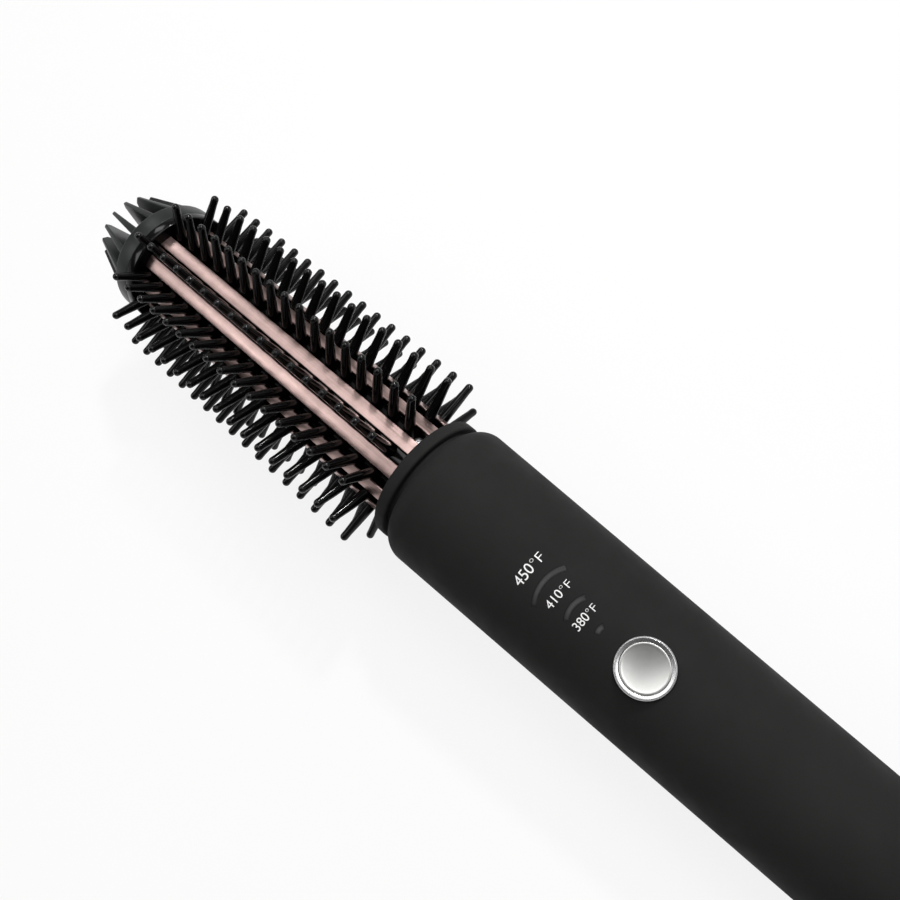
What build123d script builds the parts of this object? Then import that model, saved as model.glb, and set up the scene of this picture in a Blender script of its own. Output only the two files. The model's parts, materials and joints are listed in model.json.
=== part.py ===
from build123d import *

import math
import os

# Heated round styling brush: a ribbed barrel with rows of bristles, a finned cool tip,
# a collar, and a tapered handle with one button, three indicator windows and a cord swivel.
#
# Frame: X runs along the axis with the cool tip at +X, and the button faces +Z.
# The pieces are drawn with x = 0 on the collar's front face. At the end they are all
# moved along X, so that the origin is on the axis at half the length of the object.
# Angles around the axis are counted from +Z towards -Y. Millimetres and degrees.

# ------------------------------------------------------------------ driving dimensions

# Barrel: an extrusion with a heating rib between each two bristle rows
BARREL_LENGTH = 98.5
ROW_COUNT = 12
RIB_HEIGHT = 14.05  # from the axis to the flat top of a rib
RIB_WIDTH = 3.9
RIB_EDGE_CHAMFER = 0.3
LIP_HEIGHT = 1.85  # from a rib's top down to the slot beside it
LIP_WIDTH = 0.5  # a slot's undercut on each side
SLOT_DEPTH = 1.8
BARREL_WALL = 2.2  # between slot floor and bore

# Bristle strips, slid into the barrel's slots
FIRST_BRISTLE_X = 5.97
LAST_BRISTLE_MARGIN = 2.4  # least distance from the last bristle to the end ring
BRISTLE_PITCH = 5.627
BRISTLE_TIP_RADIUS = 25.28  # from the axis to the tip
PIN_BASE_RADIUS = 1.45
PIN_TIP_RADIUS = 1.05
PIN_SIDES = 6
STRIP_SCREW_GAP = 0.2  # between a strip's end and the collar screw in its slot

# Cool tip
END_RING_LENGTH = 2.7
TIP_RING_STEP = 3.25  # above the ribs
TIP_RING_LENGTH = 5.0
TIP_RING_EDGE = 0.5
TIP_FACE_WALL = 1.0  # between the plug's hollow and the face
FIN_COUNT = 16
FIN_THICKNESS = 1.25
FIN_LENGTH = 16.1
FIN_ROOT_INSET = 0.6
FIN_ROOT_DEPTH = 0.5  # of the fins' roots in the ring and the core
FIN_TIP_OUTER_RADIUS = 10.9
FIN_TIP_WIDTH = 2.2
FIN_TIP_CHAMFER = 0.8
CORE_INSET = 3.7  # of the core between the fins, below the ring
CORE_TIP_RADIUS = 5.0
CORE_LENGTH = 9.5
TIP_PLUG_LENGTH = 9.0
TIP_PLUG_WALL = 2.5

# Collar between barrel and handle
COLLAR_STEP = 2.0  # below the handle's mouth
COLLAR_LENGTH = 3.3
COLLAR_EDGE_CHAMFER = 0.7
GROOVE_LENGTH = 1.7  # shadow gap between collar and handle
GROOVE_DEPTH = 1.0  # below the socket
GROOVE_HIDDEN_LENGTH = 1.0  # of the groove inside the handle's mouth
COLLAR_NECK_LENGTH = 9.0
COLLAR_NECK_WALL = 2.7
COLLAR_SPIGOT_LENGTH = 11.0
COLLAR_WALL = 2.6
COLLAR_WEB = 1.2
COLLAR_SCREW_X = 2.6
COLLAR_SCREW_ANGLES = (30, 150, 270)
COLLAR_SCREW_HEAD_RADIUS = 1.6
COLLAR_SCREW_HEAD_HEIGHT = 1.25
COLLAR_SCREW_RADIUS = 0.85
COLLAR_SCREW_TIP_GAP = 0.4  # between the screw's end and the neck's bore
SHELF_HEIGHT = 5.0
SHELF_FLOOR = 1.0  # below the pilot holes for the chassis screws
SHELF_ROOT = 0.65  # of the shelf in the spigot's wall

# Heater inside the barrel
HEATER_START_X = 14.0
HEATER_LEAD = 2.0  # of the element in front of the spreaders, where its wires start
HEATER_END_MARGIN = 3.5  # before the cool tip's plug
HEATER_SIDE_MARGIN = 2.5
HEATER_THICKNESS = 3.2
SENSOR_GROOVE_WIDTH = 2.2
SENSOR_GROOVE_DEPTH = 2.4
SENSOR_GROOVE_LENGTH = 30.0
SENSOR_RADIUS = 0.9
SENSOR_LENGTH = 5.0
SENSOR_END_GAP = 0.5  # between the bead and the end of its groove
SENSOR_SLEEVE_RADIUS = 0.55

# Handle sleeve
HANDLE_MOUTH_RADIUS = 19.0
HANDLE_LENGTH = 167.0
HANDLE_TAPER = 0.0276  # radius lost per mm of length
HANDLE_WALL = 3.0
SHOULDER_LENGTH = 4.5
MOUTH_LIP_DROP = 2.1  # the shoulder's fall towards the mouth
SOCKET_LEDGE = 0.5  # stop for the collar's spigot

# Button, with its axis along Z
BUTTON_X = -69.9
BUTTON_RADIUS = 5.2
BUTTON_TRAVEL = 0.6
BUTTON_PROUD = 0.25
BUTTON_DISH_DEPTH = 0.45
BUTTON_EDGE_WIDTH = 0.5
BUTTON_RIM_WIDTH = 0.45
BUTTON_RIM_HEIGHT = 0.9
BUTTON_STEM_RADIUS = 1.5
BUTTON_STEM_LENGTH = 1.77  # below the rim; the switch and its board hang from it
BEZEL_WIDTH = 1.1  # from the button's edge
BEZEL_PROUD = 0.55
BEZEL_BEVEL = 0.45
BEZEL_SEAT_MARGIN = 0.45  # below the handle's surface at the bezel's edge
BEZEL_BARREL_WALL = 0.5
BEZEL_BARREL_DEPTH = 4.1

# Indicator windows: arcs, (x of the crown, width across the handle, rise)
WINDOWS = {
    "indicator_lens_high": (-42.7, 11.3, 1.7),
    "indicator_lens_mid": (-50.5, 7.0, 1.0),
    "indicator_lens_low": (-57.7, 2.7, 0.35),
}
WINDOW_BAND = 1.3
LENS_STEM = 0.8
LENS_SINK = 0.06  # below the handle's surface
SHROUD_WALL = 0.9
SHROUD_REAR_WALL = 1.9
LED_WIDTH = 3.0
LED_HEIGHT = 1.1
LED_SIDE_GAP = 0.6  # between a light and its cell's walls

# Chassis, circuit board and what stands on it
CHASSIS_THICKNESS = 1.8
CHASSIS_RAIL_HEIGHT = 6.0
CHASSIS_RAIL_GAP = 0.7  # between board and rail
CHASSIS_RAIL_LEAD = 2.0  # the rails' length in front of the board
CHASSIS_TONGUE_GAP = 1.0  # between the tongue's end and the collar's web
BOARD_FRONT_X = -28.0
BOARD_TAIL_MARGIN = 6.0  # from the chassis's end
BOARD_SIDE_MARGIN = 1.25  # inside the handle's bore at the board's far corners
BOARD_THICKNESS = 1.6
BOARD_CORNER_CHAMFER = 1.2
STANDOFF_HEIGHT = 3.2
STANDOFF_RADIUS = 2.2
STANDOFF_FLOOR = 0.6  # below the pilot holes for the board screws
STANDOFF_END_INSET = 4.0
STANDOFF_SIDE_INSET = 3.1
BOARD_SCREW_RADIUS = 1.0
BOARD_SCREW_HEAD_RADIUS = 1.9
BOARD_SCREW_HEAD_HEIGHT = 1.2
CHASSIS_SCREW_X = -11.5
CHASSIS_SCREW_SPACING = 12.0
SWITCH_SIDE = 6.0
SWITCH_HEIGHT = 3.5
PLUNGER_RADIUS = 1.7
PLUNGER_PROUD = 1.3
PLUNGER_LENGTH = 2.6
WELL_FLOOR_GAP = 0.3
CAPACITOR_SIZE = (13.0, 6.0, 5.6)
CAPACITOR_OFFSET = 29.0  # from the board's rear end
CAPACITOR_CHAMFER = 0.6
TRIAC_SIZE = (10.0, 9.0, 4.4)
TRIAC_TAB_SIZE = (6.0, 8.6, 1.3)
TRIAC_TAB_OVERLAP = 0.5
TRIAC_SCREW_GAP = 0.4  # between its tab and the board's rear screws
TRIAC_HOLE_RADIUS = 1.6
CHIP_SIZE = (8.0, 5.4, 1.5)
CHIP_CHAMFER = 0.3
FUSE_RADIUS = 2.0
FUSE_LENGTH = 10.0
FUSE_RAIL_GAP = 0.5  # between the fuse and the end of the chassis's rails
FUSE_Y = -6.5

# Cord swivel in the tail
TAIL_CAP_LENGTH = 4.6
TAIL_CAP_EDGE_CHAMFER = 2.6
TAIL_CAP_WALL = 2.6
TAIL_PLUG_LENGTH = 9.0
TAIL_PLUG_WALL = 2.0
CORD_BORE_RADIUS = 2.6
GLAND_NECK_RADIUS = 5.0
GLAND_NOSE_RADIUS = 6.4
GLAND_NOSE_LENGTH = 4.6
GLAND_NOSE_CHAMFER = 1.4
GLAND_FLANGE_GAP = 1.8  # inside the tail cap's plug
GLAND_FLANGE_LENGTH = 2.2
ROTOR_RADIUS = 4.2
ROTOR_LENGTH = 20.0
SLIP_RING_RADIUS = 5.0
SLIP_RING_WIDTH = 2.6
SLIP_RING_OFFSET = 15.0  # from the rotor's root
HOUSING_BORE_GAP = 1.0  # around the slip ring
HOUSING_LENGTH = 17.0
HOUSING_WALL = 3.0
AXIAL_HOLE_RADIUS = 1.2
CONTACT_PIN_RADIUS = 0.9
CONTACT_PIN_INSET = 2.0  # below the handle's bore

# Wires inside the handle
WIRE_RADIUS = 0.7
WIRE_BEND_RADIUS = 2.0
WIRE_SIDES = 6
WIRE_HEATER_Y = 2.2  # each side of the axis, at the heater
WIRE_COLLAR_Y = 2.6  # and through the collar
WIRE_COLLAR_Z = 2.4
WIRE_RISE_INSET = 1.0  # from each end of the collar's neck, in which the wires rise
WIRE_SCREW_GAP = 0.25  # between a wire and the head of a board screw
WIRE_BOARD_REACH = 7.0  # over the board
WIRE_DESCENT_X = 10.0  # in front of the board, where the wires turn down to it
SENSOR_BEND_RADIUS = 1.5
SENSOR_LEAD_GAP = 0.8  # below the top of the collar's neck bore
SENSOR_REACH = 6.0

# Clearances, each measured on the radius or on one side
SLIDE_GAP = 0.10  # strips in their slots, lids and plugs in their sockets
RUNNING_GAP = 0.06  # turning and sliding pieces of the swivel and the button
SHELL_GAP = 0.25  # pieces that follow the inside of the handle
SEAT_GAP = 0.05  # pieces that lie against each other
SCREW_GAP = 0.08  # shank in its pilot hole
PRESS_GAP = 0.01  # slip ring on its rotor

# Drawing aids
OVERRUN = 1.0  # by which a cutting or joining shape runs past the face it meets
PRISM_SIDES = 8  # of the shanks, holes and posts of small hidden fasteners

# ------------------------------------------------------------------ sizes that follow

ROW_STEP = 360 / ROW_COUNT
RIB_OFFSET = ROW_STEP / 2
RIB_SINE = math.sin(math.radians(RIB_OFFSET))
RIB_COSINE = math.cos(math.radians(RIB_OFFSET))
GROOVE_OPENING = 2 * (RIB_HEIGHT * RIB_SINE - RIB_WIDTH / 2 * RIB_COSINE)
RIB_EDGE_HEIGHT = (RIB_HEIGHT - GROOVE_OPENING / 2 * RIB_SINE) / RIB_COSINE  # over mid-slot
SLOT_WIDTH = GROOVE_OPENING + 2 * LIP_WIDTH
SLOT_TOP_HEIGHT = RIB_HEIGHT - LIP_HEIGHT
SLOT_FLOOR_HEIGHT = SLOT_TOP_HEIGHT - SLOT_DEPTH
BORE_RADIUS = SLOT_FLOOR_HEIGHT - BARREL_WALL
BRISTLE_COUNT = 1 + int(
    (BARREL_LENGTH - LAST_BRISTLE_MARGIN - FIRST_BRISTLE_X) / BRISTLE_PITCH
)
TIP_RING_RADIUS = RIB_HEIGHT + TIP_RING_STEP
TIP_RING_REAR_X = BARREL_LENGTH + END_RING_LENGTH
TIP_FACE_X = TIP_RING_REAR_X + TIP_RING_LENGTH
TIP_PLUG_RADIUS = BORE_RADIUS - SLIDE_GAP
TIP_PLUG_REAR_X = BARREL_LENGTH - TIP_PLUG_LENGTH
NOSE_X = TIP_FACE_X + FIN_LENGTH
HEATER_LENGTH = TIP_PLUG_REAR_X - HEATER_END_MARGIN - HEATER_START_X
HANDLE_FRONT_X = -COLLAR_LENGTH - GROOVE_LENGTH
SHOULDER_X = HANDLE_FRONT_X - SHOULDER_LENGTH
HANDLE_TAIL_X = HANDLE_FRONT_X - HANDLE_LENGTH
SPIGOT_END_X = HANDLE_FRONT_X - COLLAR_SPIGOT_LENGTH
CAP_REAR_X = HANDLE_TAIL_X - TAIL_CAP_LENGTH
GLAND_END_X = CAP_REAR_X - SEAT_GAP - GLAND_NOSE_LENGTH
CENTRE_X = (NOSE_X + GLAND_END_X) / 2
HOUSING_REAR_X = HANDLE_TAIL_X + TAIL_PLUG_LENGTH + SEAT_GAP
HOUSING_FRONT_X = HOUSING_REAR_X + HOUSING_LENGTH
HOUSING_BORE_FRONT_X = HOUSING_FRONT_X - HOUSING_WALL
CHASSIS_TAIL_X = HOUSING_FRONT_X + SEAT_GAP
BOARD_REAR_X = CHASSIS_TAIL_X + BOARD_TAIL_MARGIN


def handle_radius(x):
    """Outer radius of the tapered handle."""
    return HANDLE_MOUTH_RADIUS + HANDLE_TAPER * (x - SHOULDER_X)


def handle_bore(x):
    """Inner radius of the handle behind its socket."""
    return handle_radius(x) - HANDLE_WALL


def half_chord(radius, height):
    """Half the width of a circle at a height above its centre."""
    return math.sqrt(radius**2 - height**2)


SOCKET_RADIUS = handle_bore(SPIGOT_END_X) + SOCKET_LEDGE
SPIGOT_RADIUS = SOCKET_RADIUS - SLIDE_GAP
COLLAR_CAVITY_RADIUS = SPIGOT_RADIUS - COLLAR_WALL
COLLAR_NECK_RADIUS = BORE_RADIUS - SLIDE_GAP
COLLAR_NECK_BORE_RADIUS = COLLAR_NECK_RADIUS - COLLAR_NECK_WALL
COLLAR_REAR_FACE_X = -COLLAR_LENGTH - COLLAR_WEB
CREST_Z = handle_radius(BUTTON_X)  # top of the handle at the button
BEZEL_RADIUS = BUTTON_RADIUS + BEZEL_WIDTH
BEZEL_BARREL_RADIUS = BUTTON_RADIUS + RUNNING_GAP + BEZEL_BARREL_WALL
BEZEL_BARREL_END_Z = CREST_Z - BEZEL_BARREL_DEPTH
BEZEL_SEAT_Z = half_chord(CREST_Z, BEZEL_RADIUS) - BEZEL_SEAT_MARGIN
BUTTON_RIM_BOTTOM_Z = BEZEL_BARREL_END_Z - RUNNING_GAP - BUTTON_RIM_HEIGHT
PLUNGER_TOP_Z = BUTTON_RIM_BOTTOM_Z - BUTTON_STEM_LENGTH - SEAT_GAP
SWITCH_TOP_Z = PLUNGER_TOP_Z - PLUNGER_PROUD
SWITCH_BOTTOM_Z = SWITCH_TOP_Z - SWITCH_HEIGHT
BOARD_TOP_Z = SWITCH_BOTTOM_Z - SEAT_GAP
BOARD_BOTTOM_Z = BOARD_TOP_Z - BOARD_THICKNESS
CHASSIS_FLOOR_Z = BOARD_BOTTOM_Z - STANDOFF_HEIGHT
CHASSIS_UNDER_Z = CHASSIS_FLOOR_Z - CHASSIS_THICKNESS
SHELF_TOP_Z = CHASSIS_UNDER_Z - SEAT_GAP
BOARD_HALF_WIDTH = (
    half_chord(handle_bore(BOARD_REAR_X) - SHELL_GAP, BOARD_TOP_Z) - BOARD_SIDE_MARGIN
)
BOARD_SCREW_Y = BOARD_HALF_WIDTH - STANDOFF_SIDE_INSET


def turned(profile):
    """Solid of revolution about X; the profile is drawn as x across and radius up."""
    return revolve(Plane.XZ * profile, Axis.X)


def outline(*points):
    """Closed face through the points."""
    return make_face(Polyline(*points, close=True))


def tube(x_from, x_to, outer, inner=0.0):
    """Tube or rod along X."""
    return turned(outline((x_from, inner), (x_to, inner), (x_to, outer), (x_from, outer)))


def around(angle):
    """Turn about X, from +Z towards -Y."""
    return Rot(angle, 0, 0)


def upright(x, y, z_from, z_to, radius):
    """Cylinder along Z."""
    return Pos(x, y, (z_from + z_to) / 2) * Cylinder(radius, abs(z_to - z_from))


def prism(x, y, z_from, z_to, radius):
    """Many-sided rod along Z, for the shanks, holes and posts of small hidden fasteners."""
    section = RegularPolygon(radius, PRISM_SIDES)
    return extrude(Pos(x, y, min(z_from, z_to)) * section, abs(z_to - z_from))


def block(x_range, y_range, z_range):
    """Box between the given limits."""
    limits = (x_range, y_range, z_range)
    centre = [sum(pair) / 2 for pair in limits]
    size = [abs(pair[1] - pair[0]) for pair in limits]
    return Pos(*centre) * Box(*size)


def cavity(x_from, x_to, gap):
    """The handle's inner cone between two places, smaller by the gap."""
    return turned(
        outline(
            (x_from, 0),
            (x_to, 0),
            (x_to, handle_bore(x_to) - gap),
            (x_from, handle_bore(x_from) - gap),
        )
    )


# ------------------------------------------------------------------ barrel and bristles


def slot_section(margin=0.0):
    """T-slot of the barrel; a positive margin makes the strip that slides in it."""
    middle = Pos(0, SLOT_FLOOR_HEIGHT + SLOT_DEPTH / 2)
    return middle * Rectangle(SLOT_WIDTH - 2 * margin, SLOT_DEPTH - 2 * margin)


def make_barrel():
    """Extruded tube with flat-topped ribs and a T-slot between each two."""
    blank = RegularPolygon(RIB_HEIGHT, ROW_COUNT, major_radius=False)
    half = GROOVE_OPENING / 2
    flare = RIB_EDGE_CHAMFER + OVERRUN
    chamfer_height = RIB_EDGE_HEIGHT - RIB_EDGE_CHAMFER
    mouth = outline(
        (-half, SLOT_FLOOR_HEIGHT),
        (half, SLOT_FLOOR_HEIGHT),
        (half, chamfer_height),
        (half + flare, chamfer_height + flare),
        (-half - flare, chamfer_height + flare),
        (-half, chamfer_height),
    )
    groove = slot_section() + mouth
    section = blank - Circle(BORE_RADIUS)
    for row in range(ROW_COUNT):
        section -= Rot(0, 0, row * ROW_STEP) * groove
    barrel = extrude(Plane.YZ * section, BARREL_LENGTH)
    hole_top = SLOT_FLOOR_HEIGHT + OVERRUN
    hole = prism(COLLAR_SCREW_X, 0, 0, hole_top, COLLAR_SCREW_RADIUS + SCREW_GAP)
    for angle in COLLAR_SCREW_ANGLES:
        barrel -= around(angle) * hole
    return barrel


def bristle_pin():
    """One tapered pin standing on the strip, with flat sides to keep the mesh small."""
    base_z = SLOT_TOP_HEIGHT - SLIDE_GAP
    length = BRISTLE_TIP_RADIUS - base_z
    taper = math.degrees(math.atan((PIN_BASE_RADIUS - PIN_TIP_RADIUS) / length))
    return extrude(Pos(0, 0, base_z) * RegularPolygon(PIN_BASE_RADIUS, PIN_SIDES), length, taper=taper)


def make_bristle_strip(start_x):
    """Moulded strip for the row at the top of the barrel."""
    end_x = BARREL_LENGTH - SLIDE_GAP
    strip = extrude(Plane.YZ.offset(start_x) * slot_section(SLIDE_GAP), end_x - start_x)
    pin = bristle_pin()
    pins = [Pos(FIRST_BRISTLE_X + i * BRISTLE_PITCH, 0, 0) * pin for i in range(BRISTLE_COUNT)]
    return strip + pins


# ------------------------------------------------------------------ cool tip


def make_end_ring():
    """Glossy spacer ring that shuts the slots at the end of the barrel."""
    return tube(BARREL_LENGTH, TIP_RING_REAR_X, TIP_RING_RADIUS, BORE_RADIUS + SLIDE_GAP)


def cool_tip_fin():
    """One radial fin, tapered towards the nose, for the top of the tip."""
    root_x = TIP_FACE_X - FIN_ROOT_DEPTH
    root_radius = TIP_RING_RADIUS - FIN_ROOT_INSET
    inner_tip_radius = FIN_TIP_OUTER_RADIUS - FIN_TIP_WIDTH
    core_tip_x = TIP_FACE_X + CORE_LENGTH
    blade = outline(
        (root_x, CORE_TIP_RADIUS),
        (root_x, root_radius),
        (TIP_FACE_X, root_radius),
        (NOSE_X, FIN_TIP_OUTER_RADIUS),
        (NOSE_X, inner_tip_radius),
        (core_tip_x - FIN_ROOT_DEPTH, CORE_TIP_RADIUS),
    )
    outer_corner = blade.vertices().sort_by_distance(Vertex(NOSE_X, FIN_TIP_OUTER_RADIUS, 0))[0]
    blade = chamfer(outer_corner, FIN_TIP_CHAMFER)
    return extrude(Plane.XZ * blade, FIN_THICKNESS / 2, both=True)


def make_cool_tip():
    """Grip ring, core with a flat between each two fins, and a hollow plug for the bore."""
    blind_end_x = TIP_FACE_X - TIP_FACE_WALL
    profile = outline(
        (TIP_FACE_X, 0),
        (blind_end_x, 0),
        (blind_end_x, TIP_PLUG_RADIUS - TIP_PLUG_WALL),
        (TIP_PLUG_REAR_X, TIP_PLUG_RADIUS - TIP_PLUG_WALL),
        (TIP_PLUG_REAR_X, TIP_PLUG_RADIUS),
        (TIP_RING_REAR_X, TIP_PLUG_RADIUS),
        (TIP_RING_REAR_X, TIP_RING_RADIUS),
        (TIP_FACE_X - TIP_RING_EDGE, TIP_RING_RADIUS),
        (TIP_FACE_X, TIP_RING_RADIUS - TIP_RING_EDGE),
    )
    base_radius = TIP_RING_RADIUS - CORE_INSET
    slope = math.degrees(math.atan((base_radius - CORE_TIP_RADIUS) / CORE_LENGTH))
    base = Plane.YZ.offset(TIP_FACE_X) * RegularPolygon(base_radius, FIN_COUNT)
    tip = turned(profile) + extrude(base, CORE_LENGTH, taper=slope)
    for i in range(FIN_COUNT):
        tip += around(i * 360 / FIN_COUNT) * cool_tip_fin()
    return tip


# ------------------------------------------------------------------ heater


def make_heater_spreader():
    """Half-round aluminium block over the heater, with the sensor's groove."""
    radius = BORE_RADIUS - SEAT_GAP
    end_x = HEATER_START_X + HEATER_LENGTH
    half = tube(HEATER_START_X, end_x, radius)
    below = block(
        (HEATER_START_X - OVERRUN, end_x + OVERRUN),
        (-BORE_RADIUS, BORE_RADIUS),
        (-BORE_RADIUS, HEATER_THICKNESS / 2 + SEAT_GAP),
    )
    groove = block(
        (HEATER_START_X - OVERRUN, HEATER_START_X + SENSOR_GROOVE_LENGTH),
        (-SENSOR_GROOVE_WIDTH / 2, SENSOR_GROOVE_WIDTH / 2),
        (radius - SENSOR_GROOVE_DEPTH, BORE_RADIUS),
    )
    return half - below - groove


def make_heater():
    """Flat insulated heating element."""
    half_width = half_chord(BORE_RADIUS - SEAT_GAP, HEATER_THICKNESS / 2) - HEATER_SIDE_MARGIN
    start_x = HEATER_START_X - HEATER_LEAD
    return block(
        (start_x, start_x + HEATER_LENGTH),
        (-half_width, half_width),
        (-HEATER_THICKNESS / 2, HEATER_THICKNESS / 2),
    )


def wire(points, radius, bend):
    """Wire through the points, with equal bends."""
    path = FilletPolyline(*points, radius=bend)
    start = Plane(origin=path @ 0, z_dir=path % 0)
    return sweep(start * RegularPolygon(radius, WIRE_SIDES), path)


def make_temperature_sensor():
    """Sensor bead at the end of the groove, with its sleeved leads running to the board."""
    depth_z = BORE_RADIUS - SENSOR_GROOVE_DEPTH + SENSOR_RADIUS
    groove_end_x = HEATER_START_X + SENSOR_GROOVE_LENGTH
    bead_x = groove_end_x - SENSOR_END_GAP - SENSOR_LENGTH
    bead = Pos(0, 0, depth_z) * tube(bead_x, bead_x + SENSOR_LENGTH, SENSOR_RADIUS)
    bore_z = COLLAR_NECK_BORE_RADIUS - SENSOR_SLEEVE_RADIUS - SENSOR_LEAD_GAP
    rest_z = BOARD_TOP_Z + SEAT_GAP + SENSOR_SLEEVE_RADIUS
    lead = wire(
        [
            (bead_x + SENSOR_END_GAP, 0, depth_z),
            (HEATER_START_X - SENSOR_END_GAP, 0, depth_z),
            (COLLAR_NECK_LENGTH + SENSOR_BEND_RADIUS, 0, bore_z),
            (BOARD_FRONT_X + WIRE_DESCENT_X, 0, bore_z),
            (BOARD_FRONT_X + SENSOR_BEND_RADIUS, 0, rest_z),
            (BOARD_FRONT_X - SENSOR_REACH, 0, rest_z),
        ],
        SENSOR_SLEEVE_RADIUS,
        SENSOR_BEND_RADIUS,
    )
    return bead + lead


# ------------------------------------------------------------------ collar


def make_collar():
    """Flange with a neck in the barrel, a spigot in the handle and the chassis shelf."""
    end_x = SPIGOT_END_X + SEAT_GAP
    groove_end_x = HANDLE_FRONT_X - GROOVE_HIDDEN_LENGTH
    groove_radius = SOCKET_RADIUS - GROOVE_DEPTH
    rim_radius = HANDLE_MOUTH_RADIUS - COLLAR_STEP
    profile = outline(
        (COLLAR_NECK_LENGTH, COLLAR_NECK_BORE_RADIUS),
        (COLLAR_NECK_LENGTH, COLLAR_NECK_RADIUS),
        (0, COLLAR_NECK_RADIUS),
        (0, rim_radius),
        (-COLLAR_LENGTH, rim_radius),
        (-COLLAR_LENGTH, groove_radius),
        (groove_end_x, groove_radius),
        (groove_end_x, SPIGOT_RADIUS),
        (end_x, SPIGOT_RADIUS),
        (end_x, COLLAR_CAVITY_RADIUS),
        (COLLAR_REAR_FACE_X, COLLAR_CAVITY_RADIUS),
        (COLLAR_REAR_FACE_X, COLLAR_NECK_BORE_RADIUS),
    )
    rim = profile.vertices().filter_by(lambda v: math.isclose(v.Y, rim_radius))
    collar = turned(chamfer(rim, COLLAR_EDGE_CHAMFER))
    width = (-COLLAR_CAVITY_RADIUS, COLLAR_CAVITY_RADIUS)
    shelf_bottom_z = SHELF_TOP_Z - SHELF_HEIGHT
    shelf = block((end_x, COLLAR_REAR_FACE_X), width, (shelf_bottom_z, SHELF_TOP_Z))
    collar += shelf & tube(end_x, COLLAR_REAR_FACE_X, COLLAR_CAVITY_RADIUS + SHELF_ROOT)
    neck_range = (COLLAR_NECK_BORE_RADIUS - OVERRUN, COLLAR_NECK_RADIUS + OVERRUN)
    pilot = prism(COLLAR_SCREW_X, 0, *neck_range, COLLAR_SCREW_RADIUS)
    for angle in COLLAR_SCREW_ANGLES:
        collar -= around(angle) * pilot
    shelf_range = (shelf_bottom_z + SHELF_FLOOR, SHELF_TOP_Z + OVERRUN)
    for y in chassis_screw_places():
        collar -= prism(CHASSIS_SCREW_X, y, *shelf_range, BOARD_SCREW_RADIUS)
    return collar


def chassis_screw_places():
    """Y of the two screws through the chassis's tongue."""
    return (-CHASSIS_SCREW_SPACING / 2, CHASSIS_SCREW_SPACING / 2)


def make_collar_screws():
    """Three short screws through the slot floors into the collar's neck."""
    seat_z = SLOT_FLOOR_HEIGHT + SEAT_GAP
    head_top_z = seat_z + COLLAR_SCREW_HEAD_HEIGHT
    shank_end_z = COLLAR_NECK_BORE_RADIUS + COLLAR_SCREW_TIP_GAP
    head = upright(COLLAR_SCREW_X, 0, seat_z, head_top_z, COLLAR_SCREW_HEAD_RADIUS)
    shank = prism(COLLAR_SCREW_X, 0, shank_end_z, seat_z, COLLAR_SCREW_RADIUS - SCREW_GAP)
    screw = head + shank
    return [around(angle) * screw for angle in COLLAR_SCREW_ANGLES]


# ------------------------------------------------------------------ handle sleeve and windows


def window_arc(name, inset=0.0):
    """Arc-shaped window seen from above, rounded towards the cool tip."""
    crown_x, width, rise = WINDOWS[name]
    radius = width**2 / (8 * rise) + rise / 2
    centre_x = crown_x - radius
    outer = radius - inset
    inner = radius - WINDOW_BAND + inset
    half_angle = math.asin(width / 2 / radius) - inset / radius

    def point(r, angle):
        return (centre_x + r * math.cos(angle), r * math.sin(angle))

    front = ThreePointArc(point(outer, -half_angle), point(outer, 0), point(outer, half_angle))
    back = ThreePointArc(point(inner, half_angle), point(inner, 0), point(inner, -half_angle))
    edges = [
        front,
        Line(point(outer, half_angle), point(inner, half_angle)),
        back,
        Line(point(inner, -half_angle), point(outer, -half_angle)),
    ]
    return make_face(edges)


def make_handle_sleeve():
    """Tapered one-piece sleeve with a rounded shoulder, socket, windows and button seat."""
    with BuildSketch() as wall:
        with BuildLine():
            shoulder = (SHOULDER_X, HANDLE_MOUTH_RADIUS)
            lip = (HANDLE_FRONT_X, HANDLE_MOUTH_RADIUS - MOUTH_LIP_DROP)
            TangentArc(shoulder, lip, tangent=(1, HANDLE_TAPER))
            Polyline(
                lip,
                (HANDLE_FRONT_X, SOCKET_RADIUS),
                (SPIGOT_END_X, SOCKET_RADIUS),
                (SPIGOT_END_X, handle_bore(SPIGOT_END_X)),
                (HANDLE_TAIL_X, handle_bore(HANDLE_TAIL_X)),
                (HANDLE_TAIL_X, handle_radius(HANDLE_TAIL_X)),
                shoulder,
            )
        make_face()
    sleeve = turned(wall.sketch)
    for name in WINDOWS:
        sleeve -= extrude(window_arc(name), HANDLE_MOUTH_RADIUS + OVERRUN)
    sleeve -= upright(BUTTON_X, 0, BEZEL_SEAT_Z, CREST_Z + OVERRUN, BEZEL_RADIUS + SLIDE_GAP)
    sleeve -= upright(BUTTON_X, 0, 0, CREST_Z, BEZEL_BARREL_RADIUS + SLIDE_GAP)
    return sleeve


def make_lens(name):
    """Clear window piece, flush with the handle and standing in its shroud cell."""
    x_from, x_to = window_span(name)
    x_near = x_to + OVERRUN
    x_far = x_from - OVERRUN
    layer = turned(
        outline(
            (x_far, handle_bore(x_far) - LENS_STEM),
            (x_near, handle_bore(x_near) - LENS_STEM),
            (x_near, handle_radius(x_near) - LENS_SINK),
            (x_far, handle_radius(x_far) - LENS_SINK),
        )
    )
    return extrude(window_arc(name, SEAT_GAP), HANDLE_MOUTH_RADIUS + OVERRUN) & layer


def window_span(name):
    """First and last x of a window."""
    crown_x, _, rise = WINDOWS[name]
    return crown_x - rise - WINDOW_BAND, crown_x


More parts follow.
